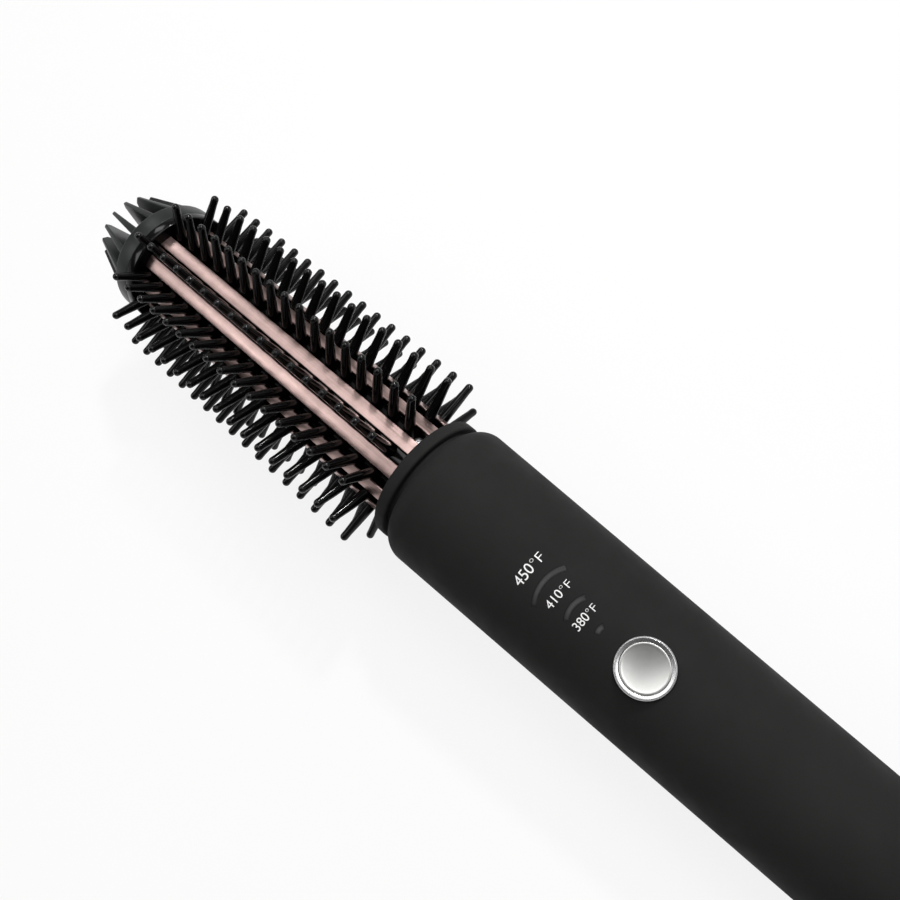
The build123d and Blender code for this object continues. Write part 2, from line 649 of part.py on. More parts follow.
def make_light_shroud():
    """Black block with one light cell under each window."""
    names = list(WINDOWS)
    front_x = window_span(names[0])[1] + SHROUD_WALL + SLIDE_GAP
    rear_x = window_span(names[-1])[0] - SHROUD_REAR_WALL - SLIDE_GAP
    half_width = WINDOWS[names[0]][1] / 2 + SHROUD_WALL + SLIDE_GAP
    top_z = handle_bore(rear_x)
    shroud = block((rear_x, front_x), (-half_width, half_width), (BOARD_TOP_Z + SEAT_GAP, top_z))
    shroud &= cavity(rear_x - OVERRUN, front_x + OVERRUN, SHELL_GAP)
    for name in names:
        x_from, x_to = window_span(name)
        cell_half_width = max(WINDOWS[name][1] / 2 + SLIDE_GAP, LED_WIDTH / 2 + LED_SIDE_GAP)
        shroud -= block(
            (x_from - SLIDE_GAP, x_to + SLIDE_GAP),
            (-cell_half_width, cell_half_width),
            (BOARD_TOP_Z - OVERRUN, top_z + OVERRUN),
        )
    return shroud


def make_indicator_leds():
    """One small light under each window."""
    size = (WINDOW_BAND, LED_WIDTH, LED_HEIGHT)
    return [on_board(sum(window_span(name)) / 2, size) for name in WINDOWS]


# ------------------------------------------------------------------ button


def make_button_bezel():
    """Bright bevelled ring around the button, seated in the handle."""
    bore = BUTTON_RADIUS + RUNNING_GAP
    seat_z = BEZEL_SEAT_Z + SEAT_GAP
    top_z = CREST_Z + BEZEL_PROUD
    profile = outline(
        (bore, BEZEL_BARREL_END_Z),
        (BEZEL_BARREL_RADIUS, BEZEL_BARREL_END_Z),
        (BEZEL_BARREL_RADIUS, seat_z),
        (BEZEL_RADIUS, seat_z),
        (BEZEL_RADIUS, top_z - BEZEL_BEVEL),
        (BEZEL_RADIUS - BEZEL_BEVEL, top_z),
        (bore, top_z),
    )
    return Pos(BUTTON_X, 0, 0) * revolve(Plane.XZ * profile, Axis.Z)


def make_button_cap():
    """Dished cap with a retaining rim below the bezel and a stem on the switch."""
    top_z = CREST_Z + BUTTON_PROUD
    rim_top_z = BUTTON_RIM_BOTTOM_Z + BUTTON_RIM_HEIGHT
    rim_radius = BUTTON_RADIUS + BUTTON_RIM_WIDTH
    stem_bottom_z = BUTTON_RIM_BOTTOM_Z - BUTTON_STEM_LENGTH
    profile = outline(
        (0, top_z - BUTTON_DISH_DEPTH),
        (BUTTON_RADIUS - BUTTON_EDGE_WIDTH, top_z),
        (BUTTON_RADIUS, top_z),
        (BUTTON_RADIUS, rim_top_z),
        (rim_radius, rim_top_z),
        (rim_radius, BUTTON_RIM_BOTTOM_Z),
        (BUTTON_STEM_RADIUS, BUTTON_RIM_BOTTOM_Z),
        (BUTTON_STEM_RADIUS, stem_bottom_z),
        (0, stem_bottom_z),
    )
    return Pos(BUTTON_X, 0, 0) * revolve(Plane.XZ * profile, Axis.Z)


def make_switch_plunger():
    """Round plunger of the switch, pushed by the button's stem."""
    return upright(BUTTON_X, 0, PLUNGER_TOP_Z - PLUNGER_LENGTH, PLUNGER_TOP_Z, PLUNGER_RADIUS)


def make_switch_body():
    """Square switch housing with a round well for the plunger."""
    half = SWITCH_SIDE / 2
    x_range = (BUTTON_X - half, BUTTON_X + half)
    body = block(x_range, (-half, half), (SWITCH_BOTTOM_Z, SWITCH_TOP_Z))
    well_bottom_z = PLUNGER_TOP_Z - PLUNGER_LENGTH - BUTTON_TRAVEL - WELL_FLOOR_GAP
    well_radius = PLUNGER_RADIUS + RUNNING_GAP
    return body - upright(BUTTON_X, 0, well_bottom_z, SWITCH_TOP_Z + OVERRUN, well_radius)


# ------------------------------------------------------------------ chassis and circuit board


def standoff_places():
    """Centres of the four board screws."""
    xs = (BOARD_FRONT_X - STANDOFF_END_INSET, BOARD_REAR_X + STANDOFF_END_INSET)
    return [(x, y) for x in xs for y in (-BOARD_SCREW_Y, BOARD_SCREW_Y)]


def make_chassis():
    """Tray that follows the handle's inside, with rails, standoffs and a front tongue."""
    body_front_x = SPIGOT_END_X - SEAT_GAP
    tongue_front_x = COLLAR_REAR_FACE_X - CHASSIS_TONGUE_GAP
    tongue_radius = COLLAR_CAVITY_RADIUS - SLIDE_GAP
    floor_range = (CHASSIS_UNDER_Z, CHASSIS_FLOOR_Z)
    wide = (-HANDLE_MOUTH_RADIUS, HANDLE_MOUTH_RADIUS)
    tray = block((CHASSIS_TAIL_X, body_front_x), wide, floor_range)
    rail_inner_y = BOARD_HALF_WIDTH + CHASSIS_RAIL_GAP
    rail_top_z = CHASSIS_FLOOR_Z + CHASSIS_RAIL_HEIGHT
    rail_x = (CHASSIS_TAIL_X, BOARD_FRONT_X + CHASSIS_RAIL_LEAD)
    for side in (-1, 1):
        rail_y = (side * rail_inner_y, side * HANDLE_MOUTH_RADIUS)
        tray += block(rail_x, rail_y, (CHASSIS_UNDER_Z, rail_top_z))
    tray &= cavity(CHASSIS_TAIL_X - OVERRUN, body_front_x + OVERRUN, SHELL_GAP)
    tongue_rear_x = body_front_x - OVERRUN
    tongue = block((tongue_rear_x, tongue_front_x), wide, floor_range)
    chassis = tray + (tongue & tube(tongue_rear_x, tongue_front_x, tongue_radius))
    post_top_z = BOARD_BOTTOM_Z - SEAT_GAP
    pilot_range = (CHASSIS_UNDER_Z + STANDOFF_FLOOR, post_top_z + OVERRUN)
    for x, y in standoff_places():
        chassis += prism(x, y, CHASSIS_FLOOR_Z, post_top_z, STANDOFF_RADIUS)
        chassis -= prism(x, y, *pilot_range, BOARD_SCREW_RADIUS)
    hole_range = (CHASSIS_UNDER_Z - OVERRUN, CHASSIS_FLOOR_Z + OVERRUN)
    for y in chassis_screw_places():
        chassis -= prism(CHASSIS_SCREW_X, y, *hole_range, BOARD_SCREW_RADIUS + SCREW_GAP)
    return chassis


def small_screw(x, y, seat_z, length):
    """Pan-head screw pointing down, with its head on the given height."""
    head = prism(x, y, seat_z, seat_z + BOARD_SCREW_HEAD_HEIGHT, BOARD_SCREW_HEAD_RADIUS)
    return head + prism(x, y, seat_z - length, seat_z, BOARD_SCREW_RADIUS - SCREW_GAP)


def make_board_screws():
    """Four screws that hold the board on its standoffs."""
    length = BOARD_THICKNESS + STANDOFF_HEIGHT
    return [small_screw(x, y, BOARD_TOP_Z + SEAT_GAP, length) for x, y in standoff_places()]


def make_chassis_screws():
    """Two screws that hold the chassis tongue on the collar's shelf."""
    length = CHASSIS_THICKNESS + SHELF_HEIGHT - 2 * SHELF_FLOOR
    seat_z = CHASSIS_FLOOR_Z + SEAT_GAP
    return [small_screw(CHASSIS_SCREW_X, y, seat_z, length) for y in chassis_screw_places()]


def make_board():
    """Circuit board with its four screw holes."""
    board = block(
        (BOARD_REAR_X, BOARD_FRONT_X),
        (-BOARD_HALF_WIDTH, BOARD_HALF_WIDTH),
        (BOARD_BOTTOM_Z, BOARD_TOP_Z),
    )
    board = chamfer(board.edges().filter_by(Axis.Z), BOARD_CORNER_CHAMFER)
    hole_range = (BOARD_BOTTOM_Z - OVERRUN, BOARD_TOP_Z + OVERRUN)
    for x, y in standoff_places():
        board -= prism(x, y, *hole_range, BOARD_SCREW_RADIUS + SCREW_GAP)
    return board


def on_board(x, size):
    """Component standing on the board."""
    return Pos(x, 0, BOARD_TOP_Z + SEAT_GAP + size[2] / 2) * Box(*size)


def make_film_capacitor():
    """Boxed mains capacitor with bevelled upright edges."""
    box = on_board(BOARD_REAR_X + CAPACITOR_OFFSET, CAPACITOR_SIZE)
    return chamfer(box.edges().filter_by(Axis.Z), CAPACITOR_CHAMFER)


def make_triac():
    """Flat power switch, with its tab in front of the board's rear screws."""
    screw_front_x = BOARD_REAR_X + STANDOFF_END_INSET + BOARD_SCREW_HEAD_RADIUS
    tab_x = screw_front_x + TRIAC_SCREW_GAP + TRIAC_TAB_SIZE[0] / 2
    body_x = tab_x + (TRIAC_TAB_SIZE[0] + TRIAC_SIZE[0]) / 2 - TRIAC_TAB_OVERLAP
    tab = on_board(tab_x, TRIAC_TAB_SIZE)
    hole_top_z = BOARD_TOP_Z + TRIAC_TAB_SIZE[2] + OVERRUN
    return on_board(body_x, TRIAC_SIZE) + tab - prism(
        tab_x, 0, BOARD_TOP_Z, hole_top_z, TRIAC_HOLE_RADIUS
    )


def make_control_chip():
    """Control circuit in its flat package, on the board's underside below the switch."""
    z = BOARD_BOTTOM_Z - SEAT_GAP - CHIP_SIZE[2] / 2
    package = Pos(BUTTON_X, 0, z) * Box(*CHIP_SIZE)
    return chamfer(package.edges().group_by(Axis.Z)[0], CHIP_CHAMFER)


def make_thermal_fuse():
    """Thermal fuse beside a heater wire, lying on the chassis in front of its rails."""
    rear_x = BOARD_FRONT_X + CHASSIS_RAIL_LEAD + FUSE_RAIL_GAP
    z = CHASSIS_FLOOR_Z + SEAT_GAP + FUSE_RADIUS
    return Pos(0, FUSE_Y, z) * tube(rear_x, rear_x + FUSE_LENGTH, FUSE_RADIUS)


# ------------------------------------------------------------------ cord swivel


def make_tail_cap():
    """Rounded cap that plugs into the sleeve and holds the swivel's neck."""
    plug_radius, plug_bore = tail_plug_radii()
    plug_front_x = HANDLE_TAIL_X + TAIL_PLUG_LENGTH
    wall_x = CAP_REAR_X + TAIL_CAP_WALL
    hole = GLAND_NECK_RADIUS + RUNNING_GAP
    rim = handle_radius(HANDLE_TAIL_X)
    profile = outline(
        (CAP_REAR_X, hole),
        (wall_x, hole),
        (wall_x, plug_bore),
        (plug_front_x, plug_bore),
        (plug_front_x, plug_radius),
        (HANDLE_TAIL_X - SEAT_GAP, plug_radius),
        (HANDLE_TAIL_X - SEAT_GAP, rim),
        (CAP_REAR_X, rim),
    )
    corner = profile.vertices().sort_by_distance(Vertex(CAP_REAR_X, rim, 0))[0]
    return turned(chamfer(corner, TAIL_CAP_EDGE_CHAMFER))


def tail_plug_radii():
    """Outer and inner radius of the tail cap's plug."""
    outer = handle_bore(HANDLE_TAIL_X) - SLIDE_GAP
    return outer, outer - TAIL_PLUG_WALL


def swivel_stations():
    """X of the gland flange's rear face, its front face and the rotor's front end."""
    flange_rear = CAP_REAR_X + TAIL_CAP_WALL + RUNNING_GAP
    flange_front = flange_rear + GLAND_FLANGE_LENGTH
    return flange_rear, flange_front, flange_front + ROTOR_LENGTH


def make_swivel_gland():
    """Turning gland with the cord's bore, a thrust flange and the contact rotor."""
    flange_rear, flange_front, rotor_front = swivel_stations()
    nose_front = CAP_REAR_X - SEAT_GAP
    flange_radius = tail_plug_radii()[1] - GLAND_FLANGE_GAP
    profile = outline(
        (GLAND_END_X, CORD_BORE_RADIUS),
        (GLAND_END_X, GLAND_NOSE_RADIUS),
        (nose_front, GLAND_NOSE_RADIUS),
        (nose_front, GLAND_NECK_RADIUS),
        (flange_rear, GLAND_NECK_RADIUS),
        (flange_rear, flange_radius),
        (flange_front, flange_radius),
        (flange_front, ROTOR_RADIUS),
        (rotor_front, ROTOR_RADIUS),
        (rotor_front, 0),
        (flange_front, 0),
        (flange_front, CORD_BORE_RADIUS),
    )
    corner = profile.vertices().sort_by_distance(Vertex(GLAND_END_X, GLAND_NOSE_RADIUS, 0))[0]
    return turned(chamfer(corner, GLAND_NOSE_CHAMFER))


def slip_ring_x():
    """X of the slip ring's middle."""
    return swivel_stations()[1] + SLIP_RING_OFFSET


def make_slip_ring():
    """Contact ring on the rotor."""
    x = slip_ring_x()
    half = SLIP_RING_WIDTH / 2
    return tube(x - half, x + half, SLIP_RING_RADIUS, ROTOR_RADIUS + PRESS_GAP)


def make_contact_housing():
    """Fixed sleeve around the rotor, with a hole for the ring's contact pin."""
    radius = handle_bore(HOUSING_REAR_X) - SLIDE_GAP
    housing = tube(HOUSING_REAR_X, HOUSING_FRONT_X, radius)
    bore = SLIP_RING_RADIUS + HOUSING_BORE_GAP
    housing -= tube(HOUSING_REAR_X - OVERRUN, HOUSING_BORE_FRONT_X, bore)
    x = slip_ring_x()
    housing -= prism(x, 0, 0, radius + OVERRUN, CONTACT_PIN_RADIUS + SCREW_GAP)
    hole_range = (HOUSING_BORE_FRONT_X - OVERRUN, HOUSING_FRONT_X + OVERRUN)
    return housing - tube(*hole_range, AXIAL_HOLE_RADIUS)


def make_contact_pins():
    """One pin that bears on the slip ring and one on the rotor's end."""
    x = slip_ring_x()
    pin_top_z = handle_bore(x) - CONTACT_PIN_INSET
    ring_pin = prism(x, 0, SLIP_RING_RADIUS + RUNNING_GAP, pin_top_z, CONTACT_PIN_RADIUS)
    rotor_front = swivel_stations()[2]
    end_pin = tube(rotor_front + RUNNING_GAP, HOUSING_FRONT_X, AXIAL_HOLE_RADIUS - SCREW_GAP)
    return [ring_pin, end_pin]


# ------------------------------------------------------------------ wires


def make_heater_wires():
    """Two wires from the board through the collar to the heater."""
    start_x = HEATER_START_X - HEATER_LEAD - SEAT_GAP
    rest_z = BOARD_TOP_Z + SEAT_GAP + WIRE_RADIUS
    board_y = BOARD_SCREW_Y - BOARD_SCREW_HEAD_RADIUS - WIRE_SCREW_GAP - WIRE_RADIUS
    wires = []
    for side in (-1, 1):
        route = [
            (start_x, side * WIRE_HEATER_Y, 0),
            (COLLAR_NECK_LENGTH - WIRE_RISE_INSET, side * WIRE_HEATER_Y, 0),
            (WIRE_RISE_INSET, side * WIRE_COLLAR_Y, WIRE_COLLAR_Z),
            (BOARD_FRONT_X + WIRE_DESCENT_X, side * WIRE_COLLAR_Y, WIRE_COLLAR_Z),
            (BOARD_FRONT_X + WIRE_BEND_RADIUS, side * board_y, rest_z),
            (BOARD_FRONT_X - WIRE_BOARD_REACH, side * board_y, rest_z),
        ]
        wires.append(wire(route, WIRE_RADIUS, WIRE_BEND_RADIUS))
    return wires


# ------------------------------------------------------------------ build and write


def build_nodes():
    """Every piece by name, as one solid or a list of separate solids."""
    full_strip = make_bristle_strip(SLIDE_GAP)
    screw_front_x = COLLAR_SCREW_X + COLLAR_SCREW_HEAD_RADIUS
    short_strip = make_bristle_strip(screw_front_x + STRIP_SCREW_GAP)
    spreader = make_heater_spreader()
    nodes = {"barrel": make_barrel()}
    for row in range(ROW_COUNT):
        angle = row * ROW_STEP
        strip = short_strip if angle in COLLAR_SCREW_ANGLES else full_strip
        nodes[f"bristle_strip_{row + 1:02d}"] = around(angle) * strip
    nodes["end_ring"] = make_end_ring()
    nodes["cool_tip"] = make_cool_tip()
    nodes["heater_spreader_upper"] = spreader
    nodes["heater_spreader_lower"] = around(180) * spreader
    nodes["heater_element"] = make_heater()
    nodes["temperature_sensor"] = make_temperature_sensor()
    nodes["collar"] = make_collar()
    nodes["collar_screws"] = make_collar_screws()
    nodes["handle_sleeve"] = make_handle_sleeve()
    for name in WINDOWS:
        nodes[name] = make_lens(name)
    nodes["light_shroud"] = make_light_shroud()
    nodes["indicator_leds"] = make_indicator_leds()
    nodes["button_bezel"] = make_button_bezel()
    nodes["button_cap"] = make_button_cap()
    nodes["switch_plunger"] = make_switch_plunger()
    nodes["switch_body"] = make_switch_body()
    nodes["chassis"] = make_chassis()
    nodes["chassis_screws"] = make_chassis_screws()
    nodes["circuit_board"] = make_board()
    nodes["board_screws"] = make_board_screws()
    nodes["film_capacitor"] = make_film_capacitor()
    nodes["triac"] = make_triac()
    nodes["control_chip"] = make_control_chip()
    nodes["thermal_fuse"] = make_thermal_fuse()
    nodes["heater_wires"] = make_heater_wires()
    nodes["tail_cap"] = make_tail_cap()
    nodes["swivel_gland"] = make_swivel_gland()
    nodes["slip_ring"] = make_slip_ring()
    nodes["contact_housing"] = make_contact_housing()
    nodes["contact_pins"] = make_contact_pins()
    return nodes


os.makedirs("parts", exist_ok=True)
to_centre = Pos(-CENTRE_X, 0, 0)
for node, shape in build_nodes().items():
    pieces = shape if isinstance(shape, list) else [shape]
    placed = [to_centre * piece for piece in pieces]
    solids = [solid for piece in placed for solid in piece.solids()]
    export_step(Compound(children=solids) if len(solids) > 1 else solids[0], f"parts/{node}.step")
print(f"length {NOSE_X - GLAND_END_X:.1f} mm, origin {CENTRE_X:.2f} mm from the collar")
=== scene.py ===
import json
import math

import bmesh
import bpy
from mathutils import Matrix, Vector


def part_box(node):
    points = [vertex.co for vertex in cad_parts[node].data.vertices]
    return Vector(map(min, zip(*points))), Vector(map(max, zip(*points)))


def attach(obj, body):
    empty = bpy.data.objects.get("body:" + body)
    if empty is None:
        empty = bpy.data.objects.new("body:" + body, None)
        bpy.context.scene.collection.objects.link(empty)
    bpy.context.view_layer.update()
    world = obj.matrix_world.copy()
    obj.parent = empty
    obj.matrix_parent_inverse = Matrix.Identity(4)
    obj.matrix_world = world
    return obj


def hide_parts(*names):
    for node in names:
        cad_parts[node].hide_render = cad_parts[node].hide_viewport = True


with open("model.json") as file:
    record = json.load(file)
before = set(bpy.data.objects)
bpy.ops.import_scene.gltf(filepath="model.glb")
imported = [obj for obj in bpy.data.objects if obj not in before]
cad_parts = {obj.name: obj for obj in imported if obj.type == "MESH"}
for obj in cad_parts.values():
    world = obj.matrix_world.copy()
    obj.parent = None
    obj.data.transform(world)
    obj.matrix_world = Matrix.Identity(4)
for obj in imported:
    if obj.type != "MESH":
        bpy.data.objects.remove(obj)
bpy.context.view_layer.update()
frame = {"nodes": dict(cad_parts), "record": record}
nodes = frame["nodes"]

# Places are written in millimetres, with x = 0 on the collar's front face, which is the
# barrel's rear end, and the cool tip at +x. Angles go from +Z towards -Y.
MM = 0.001
COLLAR_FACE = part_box("barrel")[0].x / MM

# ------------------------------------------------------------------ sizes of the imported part

SLIDE_GAP = 0.1  # between pieces that slide into each other
SEAT_GAP = 0.05  # between pieces that rest on each other
RUNNING_GAP = 0.06  # between pieces that move past each other

BARREL_LENGTH = 98.5
ROW_COUNT = 12
RIB_HEIGHT = 14.05
RIB_WIDTH = 3.9
SLOT_FLOOR = 10.4
SLOT_TOP = 12.2
LIP_WIDTH = 0.5
BORE_RADIUS = 8.2
PLUG_RADIUS = BORE_RADIUS - SLIDE_GAP

SCREW_ROWS = (1, 5, 9)  # counted from 0 at the top
SCREW_X = 2.6
SCREW_HEAD_HEIGHT = 1.25
SCREW_HEAD_RADIUS = 1.6
SCREW_SHANK_RADIUS = 0.77

STRIP_HALF_WIDTH = 2.153
STRIP_START_AT_SCREW = 4.4
FIRST_BRISTLE_X = 5.97
BRISTLE_PITCH = 5.627
BRISTLE_COUNT = 17
BRISTLE_TIP = 25.28

TIP_PLUG_REAR = 89.5
TIP_PLUG_WALL = 2.5
TIP_RING_REAR = 101.2
TIP_RING_RADIUS = 17.3
TIP_FACE = 106.2
TIP_CORE_FRONT = 115.7
TIP_CORE_RADIUS = 4.9
NOSE_X = 122.3
FIN_COUNT = 16
FIN_THICKNESS = 1.25

HANDLE_FRONT = -5.0
HANDLE_MOUTH = 19.0
MOUTH_LIP_DROP = 2.1
SHOULDER_X = -9.5
HANDLE_TAPER = 0.0276
HANDLE_TAIL = -172.0
HANDLE_WALL = 3.0

COLLAR_RADIUS = 17.0
COLLAR_REAR = -3.3
COLLAR_NECK_FRONT = 9.0
COLLAR_NECK_WALL = 2.7
COLLAR_INNER_FACE = -4.5
SPIGOT_FRONT = -6.0
SPIGOT_END = -16.0
SPIGOT_WALL = 2.6
SOCKET_STEP = 0.5

# windows: x of the arc's crown, width across the handle, and rise of the arc
WINDOWS = {
    "high": (-42.7, 11.3, 1.7),
    "mid": (-50.5, 7.0, 1.0),
    "low": (-57.7, 2.7, 0.35),
}
WINDOW_BAND = 1.3
LENS_SINK = 0.06
LENS_STEM = 0.9

BUTTON_X = -69.9
BUTTON_RADIUS = 5.2
BEZEL_RADIUS = 6.3
BEZEL_SEAT_RADIUS = 6.4
BEZEL_SEAT_DEPTH = 0.45
BEZEL_BARREL_RADIUS = 5.76
BEZEL_BARREL_DEPTH = 4.1
BUTTON_WELL_RADIUS = 5.86
BUTTON_WELL_FLOOR = 2.0
CAP_FLANGE_RADIUS = 5.65
CAP_FLANGE_TOP = 4.16  # below the handle's crest
CAP_FLANGE_FLOOR = 5.06  # below the handle's crest
CAP_STEM_RADIUS = 1.5
CAP_STEM_LENGTH = 1.77

TAIL_CAP_REAR = -176.6
TAIL_CAP_WALL = 2.6
TAIL_PLUG_LENGTH = 9.0
TAIL_PLUG_WALL = 2.0
GLAND_END = -181.25
GLAND_NOSE_RADIUS = 6.4
GLAND_NECK_RADIUS = 5.0
GLAND_FLANGE_LENGTH = 2.2
GLAND_FLANGE_GAP = 1.8
ROTOR_LENGTH = 20.0
ROTOR_RADIUS = 4.2
CORD_BORE_RADIUS = 2.6

# ------------------------------------------------------------------ sizes of the looks alone

BORE_SIDES = 120

# a pin's flared root and its shank: height above the strip, and radius
PIN_SHANK = ((0.0, 1.68), (0.15, 1.60), (0.5, 1.52), (3.5, 1.38), (7.5, 1.22))
PIN_ROOT_DEPTH = 0.3
PIN_WAIST_RADIUS = 1.05
PIN_END_RADIUS = 1.06
PIN_DOME = 1.0
PIN_DOME_STEPS = 5
PIN_SIDES = 18

# a fin's thickness at the grip ring and at the nose, as a share of its middle thickness
FIN_DRAFT = (1.8, 0.85)
FIN_EDGE = 0.3

CROSS_SIZE = (2.0, 0.42, 0.9)

SHOULDER_STEPS = 14
HANDLE_STATIONS = 10
ARC_STEPS = 28
WINDOW_CORNER = 0.3
WINDOW_CUT_HEIGHTS = (8.0, 22.0)

# rings of a lens's top: inset from the window's edge, and how much painted glow the lens has
# there; the low values at the edge are painted shade
LENS_RINGS = ((0.05, 0.1), (0.18, 0.35), (0.33, 0.7), (0.48, 0.93), (0.6, 1.0))
PAINTED_GLOW_FADE = 0.85  # share of the painted glow that is gone at the ends of an arc

# printed temperatures: figures, x of their feet, height and width
PRINTS = {
    "print_high": ("450", -40.40, 2.45, 8.3),
    "print_mid": ("410", -48.35, 2.0, 7.1),
    "print_low": ("380", -55.45, 1.95, 6.35),
}
FIGURES_SHARE = 0.60  # of a print's width
UNIT_SPACE = 0.05  # before the unit, as a share of the width
UNIT_HEIGHT = 0.92  # as a share of the figures' height
FIGURES_WEIGHT = 0.0
UNIT_WEIGHT = -0.012
PRINT_SLICES = 40
PRINT_LIFT = 0.012
PRINT_THICKNESS = 0.02

DISH_RADIUS = 4.68
DISH_DEPTH = 0.42
DISH_STEPS = 12


def handle_radius(x):
    """Outer radius of the tapered handle."""
    return HANDLE_MOUTH + HANDLE_TAPER * (x - SHOULDER_X)


def place(x, y, z):
    """Point in the shared frame, in metres."""
    return Vector(((x + COLLAR_FACE) * MM, y * MM, z * MM))


SOCKET_RADIUS = handle_radius(SPIGOT_END) - HANDLE_WALL + SOCKET_STEP
SPIGOT_RADIUS = SOCKET_RADIUS - SLIDE_GAP
COLLAR_CAVITY = SPIGOT_RADIUS - SPIGOT_WALL
COLLAR_NECK_BORE = PLUG_RADIUS - COLLAR_NECK_WALL
CREST = handle_radius(BUTTON_X)  # height of the handle at the button
BEZEL_SEAT = math.sqrt(CREST**2 - BEZEL_RADIUS**2) - BEZEL_SEAT_DEPTH
TAIL_RIM = handle_radius(HANDLE_TAIL)
TAIL_PLUG_RADIUS = TAIL_RIM - HANDLE_WALL - SLIDE_GAP

# ------------------------------------------------------------------ mesh helpers

SHARP = 40  # in degrees: shading breaks at edges sharper than this
STRAIGHT = 0.02  # in radians: a corner that turns less isn't rounded
SIDE_SHARE = 0.45  # of a side, the most that the rounding of one corner may take
POLE = 1e-6  # a radius below this is a point on the axis
LEVEL = 1e-9  # an edge that rises less than this lies in a face of its plate


def rounded(points, radii, steps=4):
    """Closed 2-D outline with each corner rounded to its radius."""
    result = []
    count = len(points)
    for i, here in enumerate(points):
        radius = radii[i] if isinstance(radii, (list, tuple)) else radii
        before = Vector(points[i - 1])
        after = Vector(points[(i + 1) % count])
        corner = Vector(here)
        a = before - corner
        b = after - corner
        turn = math.pi - a.angle(b)
        if radius <= 0 or turn < STRAIGHT:
            result.append(tuple(corner))
            continue
        reach = radius * math.tan(turn / 2)
        limit = SIDE_SHARE * min(a.length, b.length)
        if reach > limit:
            reach = limit
            radius = reach / math.tan(turn / 2)
        a.normalize()
        b.normalize()
        start = corner + a * reach
        centre = corner + (a + b).normalized() * (radius / math.cos(turn / 2))
        first = start - centre
        side = 1 if (a.x * b.y - a.y * b.x) < 0 else -1
        for k in range(steps + 1):
            angle = side * turn * k / steps
            c, s = math.cos(angle), math.sin(angle)
            result.append(
                (
                    centre.x + c * first.x - s * first.y,
                    centre.y + s * first.x + c * first.y,
                )
            )
    return result


def linked(name, data):
    """New object with the data, in the scene."""
    obj = bpy.data.objects.new(name, data)
    bpy.context.scene.collection.objects.link(obj)
    return obj


def shade(mesh, sharp):
    """Smooth shading, except along edges sharper than the angle."""
    mesh.polygons.foreach_set("use_smooth", [True] * len(mesh.polygons))
    mesh.set_sharp_from_angle(angle=math.radians(sharp))


def new_object(name, bm, sharp=SHARP):
    """Object made from a bmesh, which is freed."""
    bmesh.ops.recalc_face_normals(bm, faces=bm.faces)
    mesh = bpy.data.meshes.new(name)
    bm.to_mesh(mesh)
    bm.free()
    shade(mesh, sharp)
    return linked(name, mesh)


def evaluated_mesh(obj):
    """Mesh of an object with its modifiers applied, or of a text object's letters."""
    bpy.context.view_layer.update()
    graph = bpy.context.evaluated_depsgraph_get()
    return bpy.data.meshes.new_from_object(obj.evaluated_get(graph))


def add_copy(bm, source):
    """Adds the vertices and faces of another bmesh, which is freed."""
    copies = {v: bm.verts.new(v.co) for v in source.verts}
    for face in source.faces:
        bm.faces.new([copies[v] for v in face.verts])
    source.free()


def add_band(bm, first, second):
    """Joins two loops of as many vertices."""
    for i in range(len(first)):
        j = (i + 1) % len(first)
        bm.faces.new([first[i], second[i], second[j], first[j]])


def add_lathe(bm, profile, segments, to_point):
    """Adds a closed or pole-to-pole profile of (along, radius), turned about an axis."""
    rings = []
    for along, radius in profile:
        if radius < POLE:
            rings.append([bm.verts.new(to_point(along, 0.0, 0.0))])
            continue
        ring = []
        for i in range(segments):
            angle = 2 * math.pi * i / segments
            u, v = radius * math.sin(angle), radius * math.cos(angle)
            ring.append(bm.verts.new(to_point(along, u, v)))
        rings.append(ring)
    closed = len(rings[0]) > 1 or len(rings[-1]) > 1
    count = len(rings)
    for k in range(count if closed else count - 1):
        a, b = rings[k], rings[(k + 1) % count]
        if len(a) == 1 and len(b) == 1:
            continue
        for i in range(segments):
            j = (i + 1) % segments
            quad = [a[i % len(a)], a[j % len(a)], b[j % len(b)], b[i % len(b)]]
            bm.faces.new(list(dict.fromkeys(quad)))


def upright_at(x):
    """For a lathe about a vertical axis through x; the profile's first number is a height."""
    return lambda height, a, b: place(x + a, b, height)


def lathe(name, profile, segments=160, to_point=place, sharp=SHARP):
    """Object turned from one profile, about the object's own axis if nothing else is given."""
    bm = bmesh.new()
    add_lathe(bm, profile, segments, to_point)
    return new_object(name, bm, sharp)


def spun(angle):
    """Turn about the object's axis from +Z towards -Y."""
    return Matrix.Rotation(math.radians(angle), 4, "X")


def row_turn(row):
    """Turn that takes a piece from the top to its row of bristles."""
    return spun(row * 360 / ROW_COUNT)


def add_slab(bm, outline, thickness, bevel, to_point):
    """Adds a flat plate with the outline and rounded edges."""
    part = bmesh.new()
    half = thickness / 2
    low = [part.verts.new((u, v, -half)) for u, v in outline]
    high = [part.verts.new((u, v, half)) for u, v in outline]
    part.faces.new(low[::-1])
    part.faces.new(high)
    add_band(part, low, high)
    bmesh.ops.recalc_face_normals(part, faces=part.faces)
    rim = [e for e in part.edges if abs(e.verts[0].co.z - e.verts[1].co.z) < LEVEL]
    bmesh.ops.bevel(part, geom=rim, offset=bevel, segments=3, profile=0.5, affect="EDGES")
    for vertex in part.verts:
        vertex.co = to_point(*vertex.co)
    add_copy(bm, part)


def cut(obj, cutters):
    """Cuts the objects out of the first one and deletes them."""
    for cutter in cutters:
        modifier = obj.modifiers.new("cut", "BOOLEAN")
        modifier.operation = "DIFFERENCE"
        modifier.solver = "EXACT"
        modifier.object = cutter
    mesh = evaluated_mesh(obj)
    obj.modifiers.clear()
    obj.data = mesh
    for cutter in cutters:
        bpy.data.objects.remove(cutter)
    shade(mesh, SHARP)


# ------------------------------------------------------------------ materials

# noise scales, here and below, are in patterns per metre
TONE_SCALE = 34
GLOSS_SCALE = 150
# most and least glossy places of a moulded piece, as shares of its roughness
GLOSS_RANGE = (0.88, 1.14)

